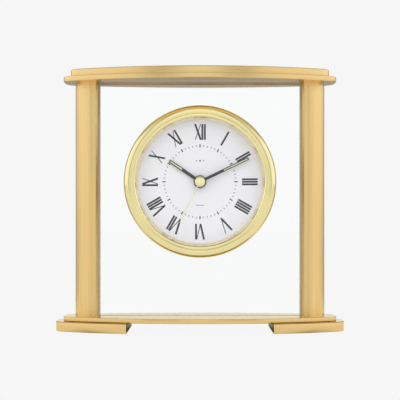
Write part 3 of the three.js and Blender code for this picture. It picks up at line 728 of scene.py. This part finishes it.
def numeral(text, degrees):
    u = 0.0
    parts = []
    before = None
    for ch in text:
        if ch == "I":
            u += {None: 0.0, "I": PITCH, "V": 0.5, "X": 1.0}[before]
            parts.append((u, u, THICK))
        elif ch == "V":
            parts.append((u + 2.25, u, THICK))
            parts.append((u + 2.25, u + 4.5, THIN))
            u += 4.5
        elif ch == "X":
            u += {None: 0.0, "I": 0.75}[before]
            parts.append((u + 3.5, u, THICK))
            parts.append((u, u + 3.5, THIN))
            u += 3.5
        before = ch
    mid = u / 2
    return [stroke(a - mid, b - mid, R0, R1, t, degrees) for a, b, t in parts]


shapes = []
for i, text in enumerate(NUMERALS):
    shapes += numeral(text, i * 30)
own(plaques("dial_numerals", shapes, -0.035, 0.02, M["ink"]), "frame", "dial_paint")
own(plaques("dial_hour_ticks", [stroke(0, 0, 21.6, 23.6, 0.72, i * 30) for i in range(12)], -0.03, 0.02, M["ink"]), "frame", "dial_paint")
own(plaques("dial_minute_ticks", [stroke(0, 0, 22.0, 23.1, 0.4, i * 6) for i in range(60) if i % 5], -0.03, 0.02, M["ink_grey"]), "frame", "dial_paint")
# a plain lozenge row above the centre and a short bar below it
orn = [[(cx - w, cz), (cx, cz - h), (cx + w, cz), (cx, cz + h)] for cx, cz, w, h in ((0, 13.2, 0.55, 0.9), (-2.2, 13.2, 0.4, 0.6), (2.2, 13.2, 0.4, 0.6))]
orn.append([(-2.6, -14.95), (2.6, -14.95), (2.6, -14.6), (-2.6, -14.6)])
own(plaques("dial_ornament", orn, -0.03, 0.02, M["ink_grey"]), "frame", "dial_paint")


# ------------------------------------------------------------------ hands
def hand(name, width, length, hub, y0, y1, degrees, lume, border):
    """A baton with a hub, a slot for the inlay, and the inlay itself."""
    n = 48
    half = width / 2
    start = math.asin(half / hub)
    outline = [(half, math.sqrt(hub * hub - half * half))]
    for i in range(n + 1):
        a = start + (2 * math.pi - 2 * start) * i / n
        outline.append((hub * math.sin(a), hub * math.cos(a)))
    outline = outline[1:]
    outline += [(-half, length), (half, length)]
    pts = [along(u, v, degrees) for u, v in outline]
    pts = [(x, z + DIAL_Z) for x, z in pts]
    body = prism(name, pts, y0, y1, M["hand_black"], "Y", 0.08, segs=2, sharp=50)
    lo, hi = lume
    slot = [along(u, v, degrees) for u, v in ((-half + border, lo), (half - border, lo), (half - border, hi), (-half + border, hi))]
    cutter = prism("t", [(x, z + DIAL_Z) for x, z in slot], y0 - 1, y0 + 0.25, M["hand_black"], "Y", 0)
    bore = cylinder("t", 1.0, y0 - 1, y1 + 1, M["hand_black"], "Y", C, 32)
    body = boolean(body, [cutter], sharp=50)
    bpy.data.objects.remove(bore)
    inlay = [along(u, v, degrees) for u, v in rounded([(-half + border, lo, 0.1), (half - border, lo, 0.1), (half - border, hi, 0.1), (-half + border, hi, 0.1)], 3)]
    fill = prism("t", [(x, z + DIAL_Z) for x, z in inlay], y0 - 0.03, y0 + 0.26, M["lume"], "Y", 0.06, 0.0, segs=2)
    return joined(name, [body, fill])


own(hand("hour_hand_baton", 2.0, 23.2, 3.7, -1.9, -1.35, 304.3, (13.6, 22.5), 0.68), "hour_hand_group", "black_hand", "hour_hand")
own(hand("minute_hand_baton", 1.8, 33.8, 4.0, -3.1, -2.55, 64.4, (16.6, 33.1), 0.62), "minute_hand_group", "black_hand", "minute_hand")


def second_hand():
    capm = revolve("t", rounded([(0, -4.9), (2.4, -4.9, 0.4), (3.1, -4.55, 0.4), (3.3, -4.0, 0.3), (3.3, -3.5), (0, -3.5)], 4), M["brass"], 64, "Y", C, closed=False)
    pts = [along(u, v, 206.5) for u, v in ((-0.34, 2.6), (-0.2, 28.8), (0.2, 28.8), (0.34, 2.6))]
    needle = prism("t", [(x, z + DIAL_Z) for x, z in pts], -4.0, -3.75, M["brass"], "Y", 0.04, segs=2)
    return joined("second_hand_gilt", [capm, needle])


own(second_hand(), "second_hand_group", "polished_brass", "second_hand")

# ------------------------------------------------------------------ small hardware
def cross_slot(at, z0, depth, length=2.5, width=0.55):
    """Two crossing cutters for a driver slot that opens downward."""
    x, y = at
    return [box("t", (x - length / 2, y - width / 2, z0 - 1), (x + length / 2, y + width / 2, z0 + depth), M["zinc"]),
            box("t", (x - width / 2, y - length / 2, z0 - 1), (x + width / 2, y + length / 2, z0 + depth), M["zinc"])]


def hexagon(r, cx, cy):
    return [(cx + r * math.cos(math.radians(60 * i)), cy + r * math.sin(math.radians(60 * i))) for i in range(6)]


def threads(z0, z1, r, pitch=0.5, depth=0.16):
    """Profile of a threaded end as rings."""
    out, z = [], z0
    while z + pitch < z1:
        out += [(r - depth, z), (r, z + pitch / 2)]
        z += pitch
    return out + [(r - depth, z)]


for side, s in SIDES:
    for which, (sx, sy), zh, ztop, head in (("cap", CAP_SCREW, 156.0, 162.0, 2.9), ("foot", FOOT_SCREW, 0.4, 8.8, 3.0)):
        ztop = 162.0 if which == "cap" else 8.8
        shank = threads(zh + 2.0, ztop - 0.5, 1.35)
        o = revolve(f"{which}_screw_{side}_cross", [(0, zh), (head - 0.25, zh), (head, zh + 0.15), (head - 0.1, zh + 0.35), (1.35, zh + 1.65)] + shank + [(1.1, ztop - 0.2), (0.9, ztop), (0, ztop)],
                    M["zinc"], 40, "Z", (s * sx, sy, 0), closed=False)
        o = boolean(o, cross_slot((s * sx, sy), zh, 0.9))
        own(o, "frame", "plated_steel", f"{which}_screw_{side}")
    for which, z0, z1 in (("lower", 1.6, 4.0), ("upper", 156.8, 159.0)):
        o = prism(f"{which}_nut_{side}_hex", hexagon(3.175, s * ROD[0], ROD[1]), z0, z1, M["zinc"], bevel=0.25, segs=2, sharp=30)
        o = boolean(o, [cylinder("t", 1.62, z0 - 1, z1 + 1, M["zinc"], at=(s * ROD[0], ROD[1], 0), segs=40)], sharp=30)
        own(o, "frame", "plated_steel", f"{which}_nut_{side}")
    rod = revolve(f"tie_rod_{side}_threaded", [(0, 1.2), (1.2, 1.2), (1.45, 1.45)] + threads(1.5, 8.5, 1.5) + [(1.5, 9.0), (1.5, 153.0)] + threads(153.2, 158.7, 1.5) + [(1.45, 158.75), (1.2, 159.0), (0, 159.0)],
                  M["zinc"], 36, "Z", (s * ROD[0], ROD[1], 0), closed=False)
    own(rod, "frame", "plated_steel", f"tie_rod_{side}")
    for where_, (px, py) in zip(("front", "rear"), PADS):
        pad = revolve(f"foot_pad_{where_}_{side}_felt", [(0, 0.0), (4.9, 0.0), (5.3, 0.08), (5.48, 0.3), (5.5, 0.9), (0, 0.9)], M["felt"], 56, "Z", (s * px, py, 0), closed=False)
        own(pad, "frame", "felt", f"foot_pad_{where_}_{side}")

# ------------------------------------------------------------------ insert from behind
case = revolve("insert_cup_moulded", [(42.1, -3.4), (42.1, -2.0), (41.3, -2.0), (41.3, 20.6), (40.95, 21.0), (38.85, 21.0), (38.6, 20.75), (38.6, 20.0), (40.3, 20.0),
                                      (40.3, 2.3), (39.8, 1.8), (3.5, 1.8), (3.5, 0.6), (40.5, 0.6), (40.5, -3.4)], M["black_plastic"], 180, "Y", C)
parts = [case]
for sx in (-1, 1):
    a, b = sorted((sx * 28.3, sx * 29.8))
    arm = box("hook", (a, 1.5, DIAL_Z - 4), (b, 18.6, DIAL_Z + 4), M["black_plastic"], 0.2)
    nose_pts = [(sx * 27.0, 17.75), (sx * 28.6, 17.5), (sx * 28.6, 18.6), (sx * 28.0, 18.6), (sx * 27.0, 18.1)]
    bm = bmesh.new()
    lo_row = [bm.verts.new((x * MM, y * MM, (DIAL_Z - 3.9) * MM)) for x, y in nose_pts]
    hi_row = [bm.verts.new((x * MM, y * MM, (DIAL_Z + 3.9) * MM)) for x, y in nose_pts]
    bm.faces.new(lo_row)
    bm.faces.new(hi_row[::-1])
    for i in range(5):
        j = (i + 1) % 5
        bm.faces.new((lo_row[i], lo_row[j], hi_row[j], hi_row[i]))
    nose = finish_mesh("nose", bm, M["black_plastic"], 20)
    gusset_lo, gusset_hi = sorted((sx * 29.8, sx * 33.0))
    rib = box("rib", (gusset_lo, 1.6, DIAL_Z - 0.6), (gusset_hi, 5.0, DIAL_Z + 0.6), M["black_plastic"], 0.15)
    parts += [arm, nose, rib]
for k in range(12):
    t = math.radians(15 + 30 * k)
    if abs(math.sin(t)) > 0.9 or abs(math.cos(t)) > 0.9:
        r0 = 34.5
    else:
        continue
    cx, cz = math.sin(t), math.cos(t)
    nx, nz = cz * 0.5, -cx * 0.5
    pts = [(cx * r0 - nx, cz * r0 - nz), (cx * 40.5 - nx, cz * 40.5 - nz), (cx * 40.5 + nx, cz * 40.5 + nz), (cx * r0 + nx, cz * r0 + nz)]
    parts.append(prism("rib", [(x, z + DIAL_Z) for x, z in pts], 1.6, 5.5, M["black_plastic"], "Y", 0.12, segs=2))
own(joined("insert_case_moulded", parts), "frame", "black_plastic", "insert_case")

gasket = revolve("gasket_ring_rubber", [(42.3, 1.25), (42.35, 1.2), (46.75, 1.2), (46.8, 1.25), (46.8, 1.95), (46.75, 2.0), (42.35, 2.0), (42.3, 1.95)], M["rubber"], 160, "Y", C)
own(gasket, "frame", "rubber", "gasket_ring")
retainer = revolve("retaining_ring_rubber", [(41.5, 6.0), (45.2, 6.0), (45.2, 7.1), (45.05, 7.4), (44.6, 7.85), (44.2, 8.0), (43.9, 8.0), (43.8, 7.8), (43.3, 7.8), (43.2, 8.0), (42.6, 8.0), (42.5, 7.8), (42.1, 7.8), (42.0, 8.0), (41.6, 8.0), (41.5, 7.9)],
                   M["rubber"], 160, "Y", C)
own(retainer, "frame", "rubber", "retaining_ring")


# ------------------------------------------------------------------ movement case
def square(half, corner, z0=None, z1=None):
    a, b = (-half if z0 is None else z0), (half if z1 is None else z1)
    return [(x, z + DIAL_Z) for x, z in rounded([(-half, a, corner), (half, a, corner), (half, b, corner), (-half, b, corner)], 6)]


KNOB = (-14.4, 8.31)
shell = prism("movement_case_moulded", square(28, 4), 3.0, 17.3, M["black_plastic"], "Y", 0.0, 0.5, segs=3)
tools = [prism("t", square(26.8, 2.8, -10.2, 26.8), 2.0, 16.1, M["black_plastic"], "Y", 0),
         box("t", (-26.8, 2.0, DIAL_Z - 26.8), (26.8, 18.3, DIAL_Z - 11.2), M["black_plastic"]),
         cylinder("t", 1.6, 10, 20, M["black_plastic"], "Y", (KNOB[0], 0, DIAL_Z + KNOB[1])),
         cylinder("t", 7.6, -9, 9, M["black_plastic"], "X", (0, 20.5, DIAL_Z - 28), 64),
         prism("t", square(24.6, 1.6, -8.6, 25.2), 16.95, 18, M["black_plastic"], "Y", 0)]
shell = boolean(shell, tools)
bits = [shell]
# a raised round seat, ribs over the coil, and a moulded arrow beside the knob
seat = revolve("seat", [(5.2, 16.9), (5.6, 16.9), (5.6, 17.28), (5.2, 17.28)], M["black_plastic"], 64, "Y", (KNOB[0], 0, DIAL_Z + KNOB[1]))
bits.append(seat)
for k in range(7):
    z = 1.0 + k * 2.6
    bits.append(box("rib", (2.0, 16.9, DIAL_Z + z), (21.5, 17.25, DIAL_Z + z + 0.9), M["black_plastic"], 0.12))
arc = []
for i in range(15):
    t = math.radians(-58 + 116 * i / 14)
    arc.append((KNOB[0] + 8.4 * math.sin(t), KNOB[1] + 8.4 * math.cos(t)))
for i in range(14, -1, -1):
    t = math.radians(-58 + 116 * i / 14)
    arc.append((KNOB[0] + 7.5 * math.sin(t), KNOB[1] + 7.5 * math.cos(t)))
bits.append(prism("arc", [(x, z + DIAL_Z) for x, z in arc], 16.9, 17.25, M["white_mark"], "Y", 0.05, segs=1))
for sign in (-1, 1):
    t = math.radians(58 * sign)
    rx, rz = math.sin(t), math.cos(t)
    tx, tz = rz * sign, -rx * sign
    cx, cz = KNOB[0] + 7.95 * rx, KNOB[1] + 7.95 * rz
    tri = [(cx - 1.2 * rx, cz - 1.2 * rz), (cx + 2.0 * tx, cz + 2.0 * tz), (cx + 1.2 * rx, cz + 1.2 * rz)]
    bits.append(prism("head", [(x, z + DIAL_Z) for x, z in tri], 16.9, 17.25, M["white_mark"], "Y", 0.05, segs=1))
# polarity marks beside the bay
for x, bars in ((21.8, ((1.6, 0.45), (0.45, 1.6))), (-21.8, ((1.6, 0.45),))):
    for w, h in bars:
        bits.append(box("mark", (x - w, 17.2, DIAL_Z - 9.9 - h * 0.45), (x + w, 17.36, DIAL_Z - 9.9 + h * 0.45), M["white_mark"]))
own(joined("movement_rear_case_moulded", bits), "frame", "black_plastic", "movement_rear_case")

# ------------------------------------------------------------------ setting knob
knurl = []
for i in range(96):
    t = 2 * math.pi * i / 96
    r = 4.5 - (0.22 if i % 4 in (2, 3) else 0.0)
    knurl.append((KNOB[0] + r * math.sin(t), DIAL_Z + KNOB[1] + r * math.cos(t)))
knob = prism("knob_disc", knurl, 17.6, 20.4, M["grey_plastic"], "Y", 0.0, 0.35, segs=3, sharp=25)
shaft = cylinder("knob_shaft", 1.2, 4.6, 17.8, M["grey_plastic"], "Y", (KNOB[0], 0, DIAL_Z + KNOB[1]))
pinion = []
for i in range(48):
    t = 2 * math.pi * i / 48
    r = 2.55 if i % 4 in (0, 1) else 1.75
    pinion.append((KNOB[0] + r * math.sin(t), DIAL_Z + KNOB[1] + r * math.cos(t)))
pin = prism("knob_pinion", pinion, 4.6, 5.6, M["grey_plastic"], "Y", 0)
knob = boolean(knob, [box("t", (KNOB[0] - 0.4, 19.8, DIAL_Z + KNOB[1] - 3.3), (KNOB[0] + 0.4, 21, DIAL_Z + KNOB[1] + 3.3), M["grey_plastic"])], sharp=25)
own(joined("setting_knob_knurled", [knob, shaft, pin]), "setting_knob_body", "grey_plastic", "setting_knob")

# ------------------------------------------------------------------ battery and contacts
BAT = (0, 10.3, DIAL_Z - 19.0)
sleeve = revolve("battery_sleeve", [(6.2, -24.55), (6.8, -24.6), (7.1, -24.3), (7.1, 13.0), (6.2, 13.0)], M["sleeve_dark"], 72, "X", BAT)
band = revolve("battery_band", [(6.2, 13.0), (7.1, 13.0), (7.1, 24.2), (6.9, 24.5), (6.2, 24.5)], M["sleeve_gold"], 72, "X", BAT)
cell = revolve("battery_can", [(0, -24.6), (5.3, -24.6), (5.6, -24.3), (6.2, -24.3), (6.2, 24.3), (5.2, 24.4), (2.9, 24.45), (2.7, 24.6), (2.7, 25.35), (2.45, 25.6), (0, 25.6)], M["nickel"], 72, "X", BAT, closed=False)
marks = []
for x, bars in ((19.0, ((1.5, 0.4), (0.4, 1.5))), (-20.0, ((0.4, 1.5),))):
    for w, h in bars:
        marks.append(box("mark", (x - w, BAT[1] + 6.85, BAT[2] - h), (x + w, BAT[1] + 7.14, BAT[2] + h), M["white_mark"]))
own(joined("battery_cell", [sleeve, band, cell] + marks), "battery_body", "battery_wrap", "battery")

loops = []
turns, r_wire = 3.0, 0.32
for i in range(121):
    f = i / 120
    t = 2 * math.pi * turns * f
    r = 4.85 + (2.4 - 4.85) * f
    x = -26.05 + 0.83 * f
    cy, cz = BAT[1] + r * math.cos(t), BAT[2] + r * math.sin(t)
    ring = []
    for k in range(10):
        a = 2 * math.pi * k / 10
        ring.append(((x + r_wire * math.sin(a)) * MM, (cy + r_wire * math.cos(a) * math.cos(t)) * MM, (cz + r_wire * math.cos(a) * math.sin(t)) * MM))
    loops.append(ring)
spring = tube_of_loops("spring", loops, M["nickel"])
back = cylinder("spring_plate", 5.2, -26.4, -26.1, M["nickel"], "X", BAT, 48)
own(joined("contact_negative_spring", [spring, back]), "frame", "nickel", "contact_negative")
plus_plate = prism("plate", [(y, z + DIAL_Z) for y, z in rounded([(4.5, -24, 1.2), (15.5, -24, 1.2), (15.5, -14, 1.2), (4.5, -14, 1.2)], 5)], 26.0, 26.4, M["nickel"], "X", 0.08, segs=1)
dimple = revolve("dimple", [(0, 25.7), (1.2, 25.75), (2.0, 26.05), (0, 26.05)], M["nickel"], 40, "X", BAT, closed=False)
own(joined("contact_positive_plate", [plus_plate, dimple]), "frame", "nickel", "contact_positive")

# ------------------------------------------------------------------ CAD nodes that stay, with their finishes
FINISH = {
    "plated_steel": "zinc", "felt": "felt", "black_plastic": "black_plastic", "rubber": "rubber", "gear_plastic": "gear_plastic",
    "grey_plastic": "grey_plastic", "nickel": "nickel", "core_steel": "core", "coil_winding": "coil", "circuit_board": "board",
    "battery_wrap": "black_plastic", "satin_gold": "gold_x", "polished_brass": "brass", "black_hand": "hand_black", "dial_paint": "dial",
    "panel_glass": "glass", "lens_glass": "lens", "glazing_strip": "vinyl",
}
slots = {s["node"]: s["material_slot"] for s in frame["record"]["subparts"]}
for name, o in frame["nodes"].items():
    finish = M[FINISH[slots[name]]]
    o.data.materials.clear()
    o.data.materials.append(finish)

# ------------------------------------------------------------------ floor, light
PALE = lin(246, 246, 246)
floor_nodes = Nodes("pale_floor")
ft = floor_nodes.t
floor_nodes.bsdf.inputs["Base Color"].default_value = (0.9, 0.9, 0.9, 1)
floor_nodes.bsdf.inputs["Roughness"].default_value = 1.0
floor_nodes.bsdf.inputs["Specular IOR Level"].default_value = 0.0
seen = ft.nodes.new("ShaderNodeEmission")
PALE_THROUGH = (0.955, 0.965, 0.965, 1)
unseen = ft.nodes.new("ShaderNodeEmission")
where = ft.nodes.new("ShaderNodeSeparateXYZ")
floor_nodes.link(floor_nodes.coord.outputs["Object"], where.inputs[0])


def floor_mix(fac, a, b):
    m = ft.nodes.new("ShaderNodeMix")
    m.data_type = "RGBA"
    floor_nodes.link(fac, m.inputs["Factor"])
    for name, v in (("A", a), ("B", b)):
        if isinstance(v, tuple):
            m.inputs[name].default_value = v
        else:
            floor_nodes.link(v, m.inputs[name])
    return m.outputs["Result"]


# what the metal mirrors of the floor, a glow seen only by reflection and bounce rays: painted reflections, pale in
# front, warm just behind, dull further back, and painted shade, dark, under the clock
behind = floor_nodes.ramp(floor_nodes.spread(where.outputs["Y"], 0, 1, 0.0, 0.8), [(0.0, (0.98, 0.95, 0.55, 1)), (0.15, (0.98, 0.95, 0.6, 1)), (0.24, (0.36, 0.38, 0.44, 1)), (1.0, (0.36, 0.37, 0.46, 1))])
around = floor_mix(floor_nodes.spread(where.outputs["Y"], 0, 1, 0.03, 0.06), lin(238, 232, 224), behind)
inside = floor_nodes.math("MAXIMUM", floor_nodes.math("DIVIDE", floor_nodes.math("ABSOLUTE", where.outputs["X"], 0), 0.092),
                          floor_nodes.math("DIVIDE", floor_nodes.math("ABSOLUTE", where.outputs["Y"], 0), 0.030))
# inside the footprint of the clock the floor shows a dark brown to reflections: painted shade under the clock
floor_nodes.link(floor_mix(floor_nodes.spread(inside, 0, 1, 0.6, 0.98), (0.10, 0.085, 0.06, 1), around), unseen.inputs["Color"])
fpath = ft.nodes.new("ShaderNodeLightPath")
direct = ft.nodes.new("ShaderNodeMath")
direct.operation = "LESS_THAN"
floor_nodes.link(floor_nodes.math("ADD", fpath.outputs["Glossy Depth"], fpath.outputs["Diffuse Depth"]), direct.inputs[0])
direct.inputs[1].default_value = 0.5
glow = ft.nodes.new("ShaderNodeMixShader")
floor_nodes.link(direct.outputs[0], glow.inputs[0])
floor_nodes.link(unseen.outputs[0], glow.inputs[1])
floor_nodes.link(seen.outputs[0], glow.inputs[2])
floor_nodes.link(floor_mix(floor_nodes.math("GREATER_THAN", fpath.outputs["Transmission Depth"], 0.5), PALE, PALE_THROUGH), seen.inputs["Color"])
# a little real shading close to the object, fading out to the plain sweep
near = ft.nodes.new("ShaderNodeVectorMath")
near.operation = "LENGTH"
floor_nodes.link(floor_nodes.coord.outputs["Object"], near.inputs[0])
share = floor_nodes.spread(near.outputs["Value"], 0.012, 0.0, 0.07, 0.2)
mix = ft.nodes.new("ShaderNodeMixShader")
floor_nodes.link(share, mix.inputs[0])
floor_nodes.link(glow.outputs[0], mix.inputs[1])
floor_nodes.link(floor_nodes.bsdf.outputs[0], mix.inputs[2])
floor_nodes.link(mix.outputs[0], floor_nodes.out.inputs[0])
bm = bmesh.new()
bmesh.ops.create_circle(bm, cap_ends=True, segments=64, radius=8)
me = bpy.data.meshes.new("floor")
bm.to_mesh(me)
bm.free()
me.materials.append(floor_nodes.mat)
floor = bpy.data.objects.new("floor", me)
scene.collection.objects.link(floor)


def studio():
    """A plain pale sweep where it is seen directly, and a soft studio with a few darker zones in reflections."""
    world = bpy.data.worlds.new("studio")
    scene.world = world
    world.use_nodes = True
    t = world.node_tree
    t.nodes.clear()

    def node(kind, **inputs):
        n = t.nodes.new(kind)
        for k, v in inputs.items():
            n.inputs[k].default_value = v
        return n

    def op(name, *args):
        n = t.nodes.new("ShaderNodeMath")
        n.operation = name
        for i, v in enumerate(args):
            if isinstance(v, (int, float)):
                n.inputs[i].default_value = v
            else:
                t.links.new(v, n.inputs[i])
        return n.outputs[0]

    def curve(x, lo, hi, stops):
        """A smooth curve through (x, value) stops, or (x, colour)."""
        m = t.nodes.new("ShaderNodeMapRange")
        m.inputs["From Min"].default_value = lo
        m.inputs["From Max"].default_value = hi
        t.links.new(x, m.inputs["Value"])
        r = t.nodes.new("ShaderNodeValToRGB")
        r.color_ramp.interpolation = "EASE"
        e = r.color_ramp.elements
        while len(e) < len(stops):
            e.new(0.5)
        for el, (p, v) in zip(e, stops):
            el.position = (p - lo) / (hi - lo)
            el.color = (v, v, v, 1) if isinstance(v, (int, float)) else (*v, 1)
        t.links.new(m.outputs[0], r.inputs[0])
        return r.outputs["Color"]

    def times(a, b):
        m = t.nodes.new("ShaderNodeMix")
        m.data_type = "RGBA"
        m.blend_type = "MULTIPLY"
        m.inputs["Factor"].default_value = 1.0
        t.links.new(a, m.inputs["A"])
        t.links.new(b, m.inputs["B"])
        return m.outputs["Result"]

    coord = node("ShaderNodeTexCoord")
    sep = node("ShaderNodeSeparateXYZ")
    t.links.new(coord.outputs["Generated"], sep.inputs[0])
    x, y, z = sep.outputs
    deg = 180 / math.pi
    azimuth = op("MULTIPLY", op("ARCTAN2", x, op("MULTIPLY", y, -1.0)), deg)
    elevation = op("MULTIPLY", op("ARCSINE", z), deg)
    off_axis = op("ABSOLUTE", azimuth)
    round_ = curve(off_axis, 0, 180, [(0, (0.94, 1.0, 0.98)), (8.5, (0.94, 1.0, 0.98)), (12.5, (0.52, 0.50, 0.48)), (20, (0.52, 0.50, 0.48)), (27, (0.97, 0.96, 0.93)), (42, (1.0, 0.98, 0.96)),
                                      (62, 1.06), (95, 1.12), (128, 1.05), (140, 0.5), (150, 0.3), (157, 0.4), (166, (0.8, 0.84, 0.92)), (172, (0.93, 0.98, 1.0)), (180, (0.93, 0.98, 1.0))])
    height = curve(elevation, -90, 90, [(-90, 0.9), (-30, 0.85), (-6, 0.8), (3, 1.0), (28, 1.0), (42, 0.55), (60, 0.4), (80, 0.8), (90, 0.9)])
    soft = node("ShaderNodeBackground")
    t.links.new(times(round_, height), soft.inputs["Color"])
    flat = node("ShaderNodeBackground", Color=PALE)
    through = node("ShaderNodeBackground", Color=PALE_THROUGH)
    plain = node("ShaderNodeMixShader")
    path = node("ShaderNodeLightPath")
    mix = node("ShaderNodeMixShader")
    even = node("ShaderNodeBackground", Color=(1.46, 1.46, 1.48, 1))
    lit = node("ShaderNodeMixShader")
    t.links.new(op("GREATER_THAN", path.outputs["Diffuse Depth"], 0.5), lit.inputs[0])
    t.links.new(soft.outputs[0], lit.inputs[1])
    t.links.new(even.outputs[0], lit.inputs[2])
    t.links.new(op("LESS_THAN", op("ADD", path.outputs["Glossy Depth"], path.outputs["Diffuse Depth"]), 0.5), mix.inputs[0])
    t.links.new(lit.outputs[0], mix.inputs[1])
    t.links.new(op("GREATER_THAN", path.outputs["Transmission Depth"], 0.5), plain.inputs[0])
    t.links.new(flat.outputs[0], plain.inputs[1])
    t.links.new(through.outputs[0], plain.inputs[2])
    t.links.new(plain.outputs[0], mix.inputs[2])
    out = node("ShaderNodeOutputWorld")
    t.links.new(mix.outputs[0], out.inputs[0])


studio()

# ------------------------------------------------------------------ finish
bpy.context.view_layer.update()
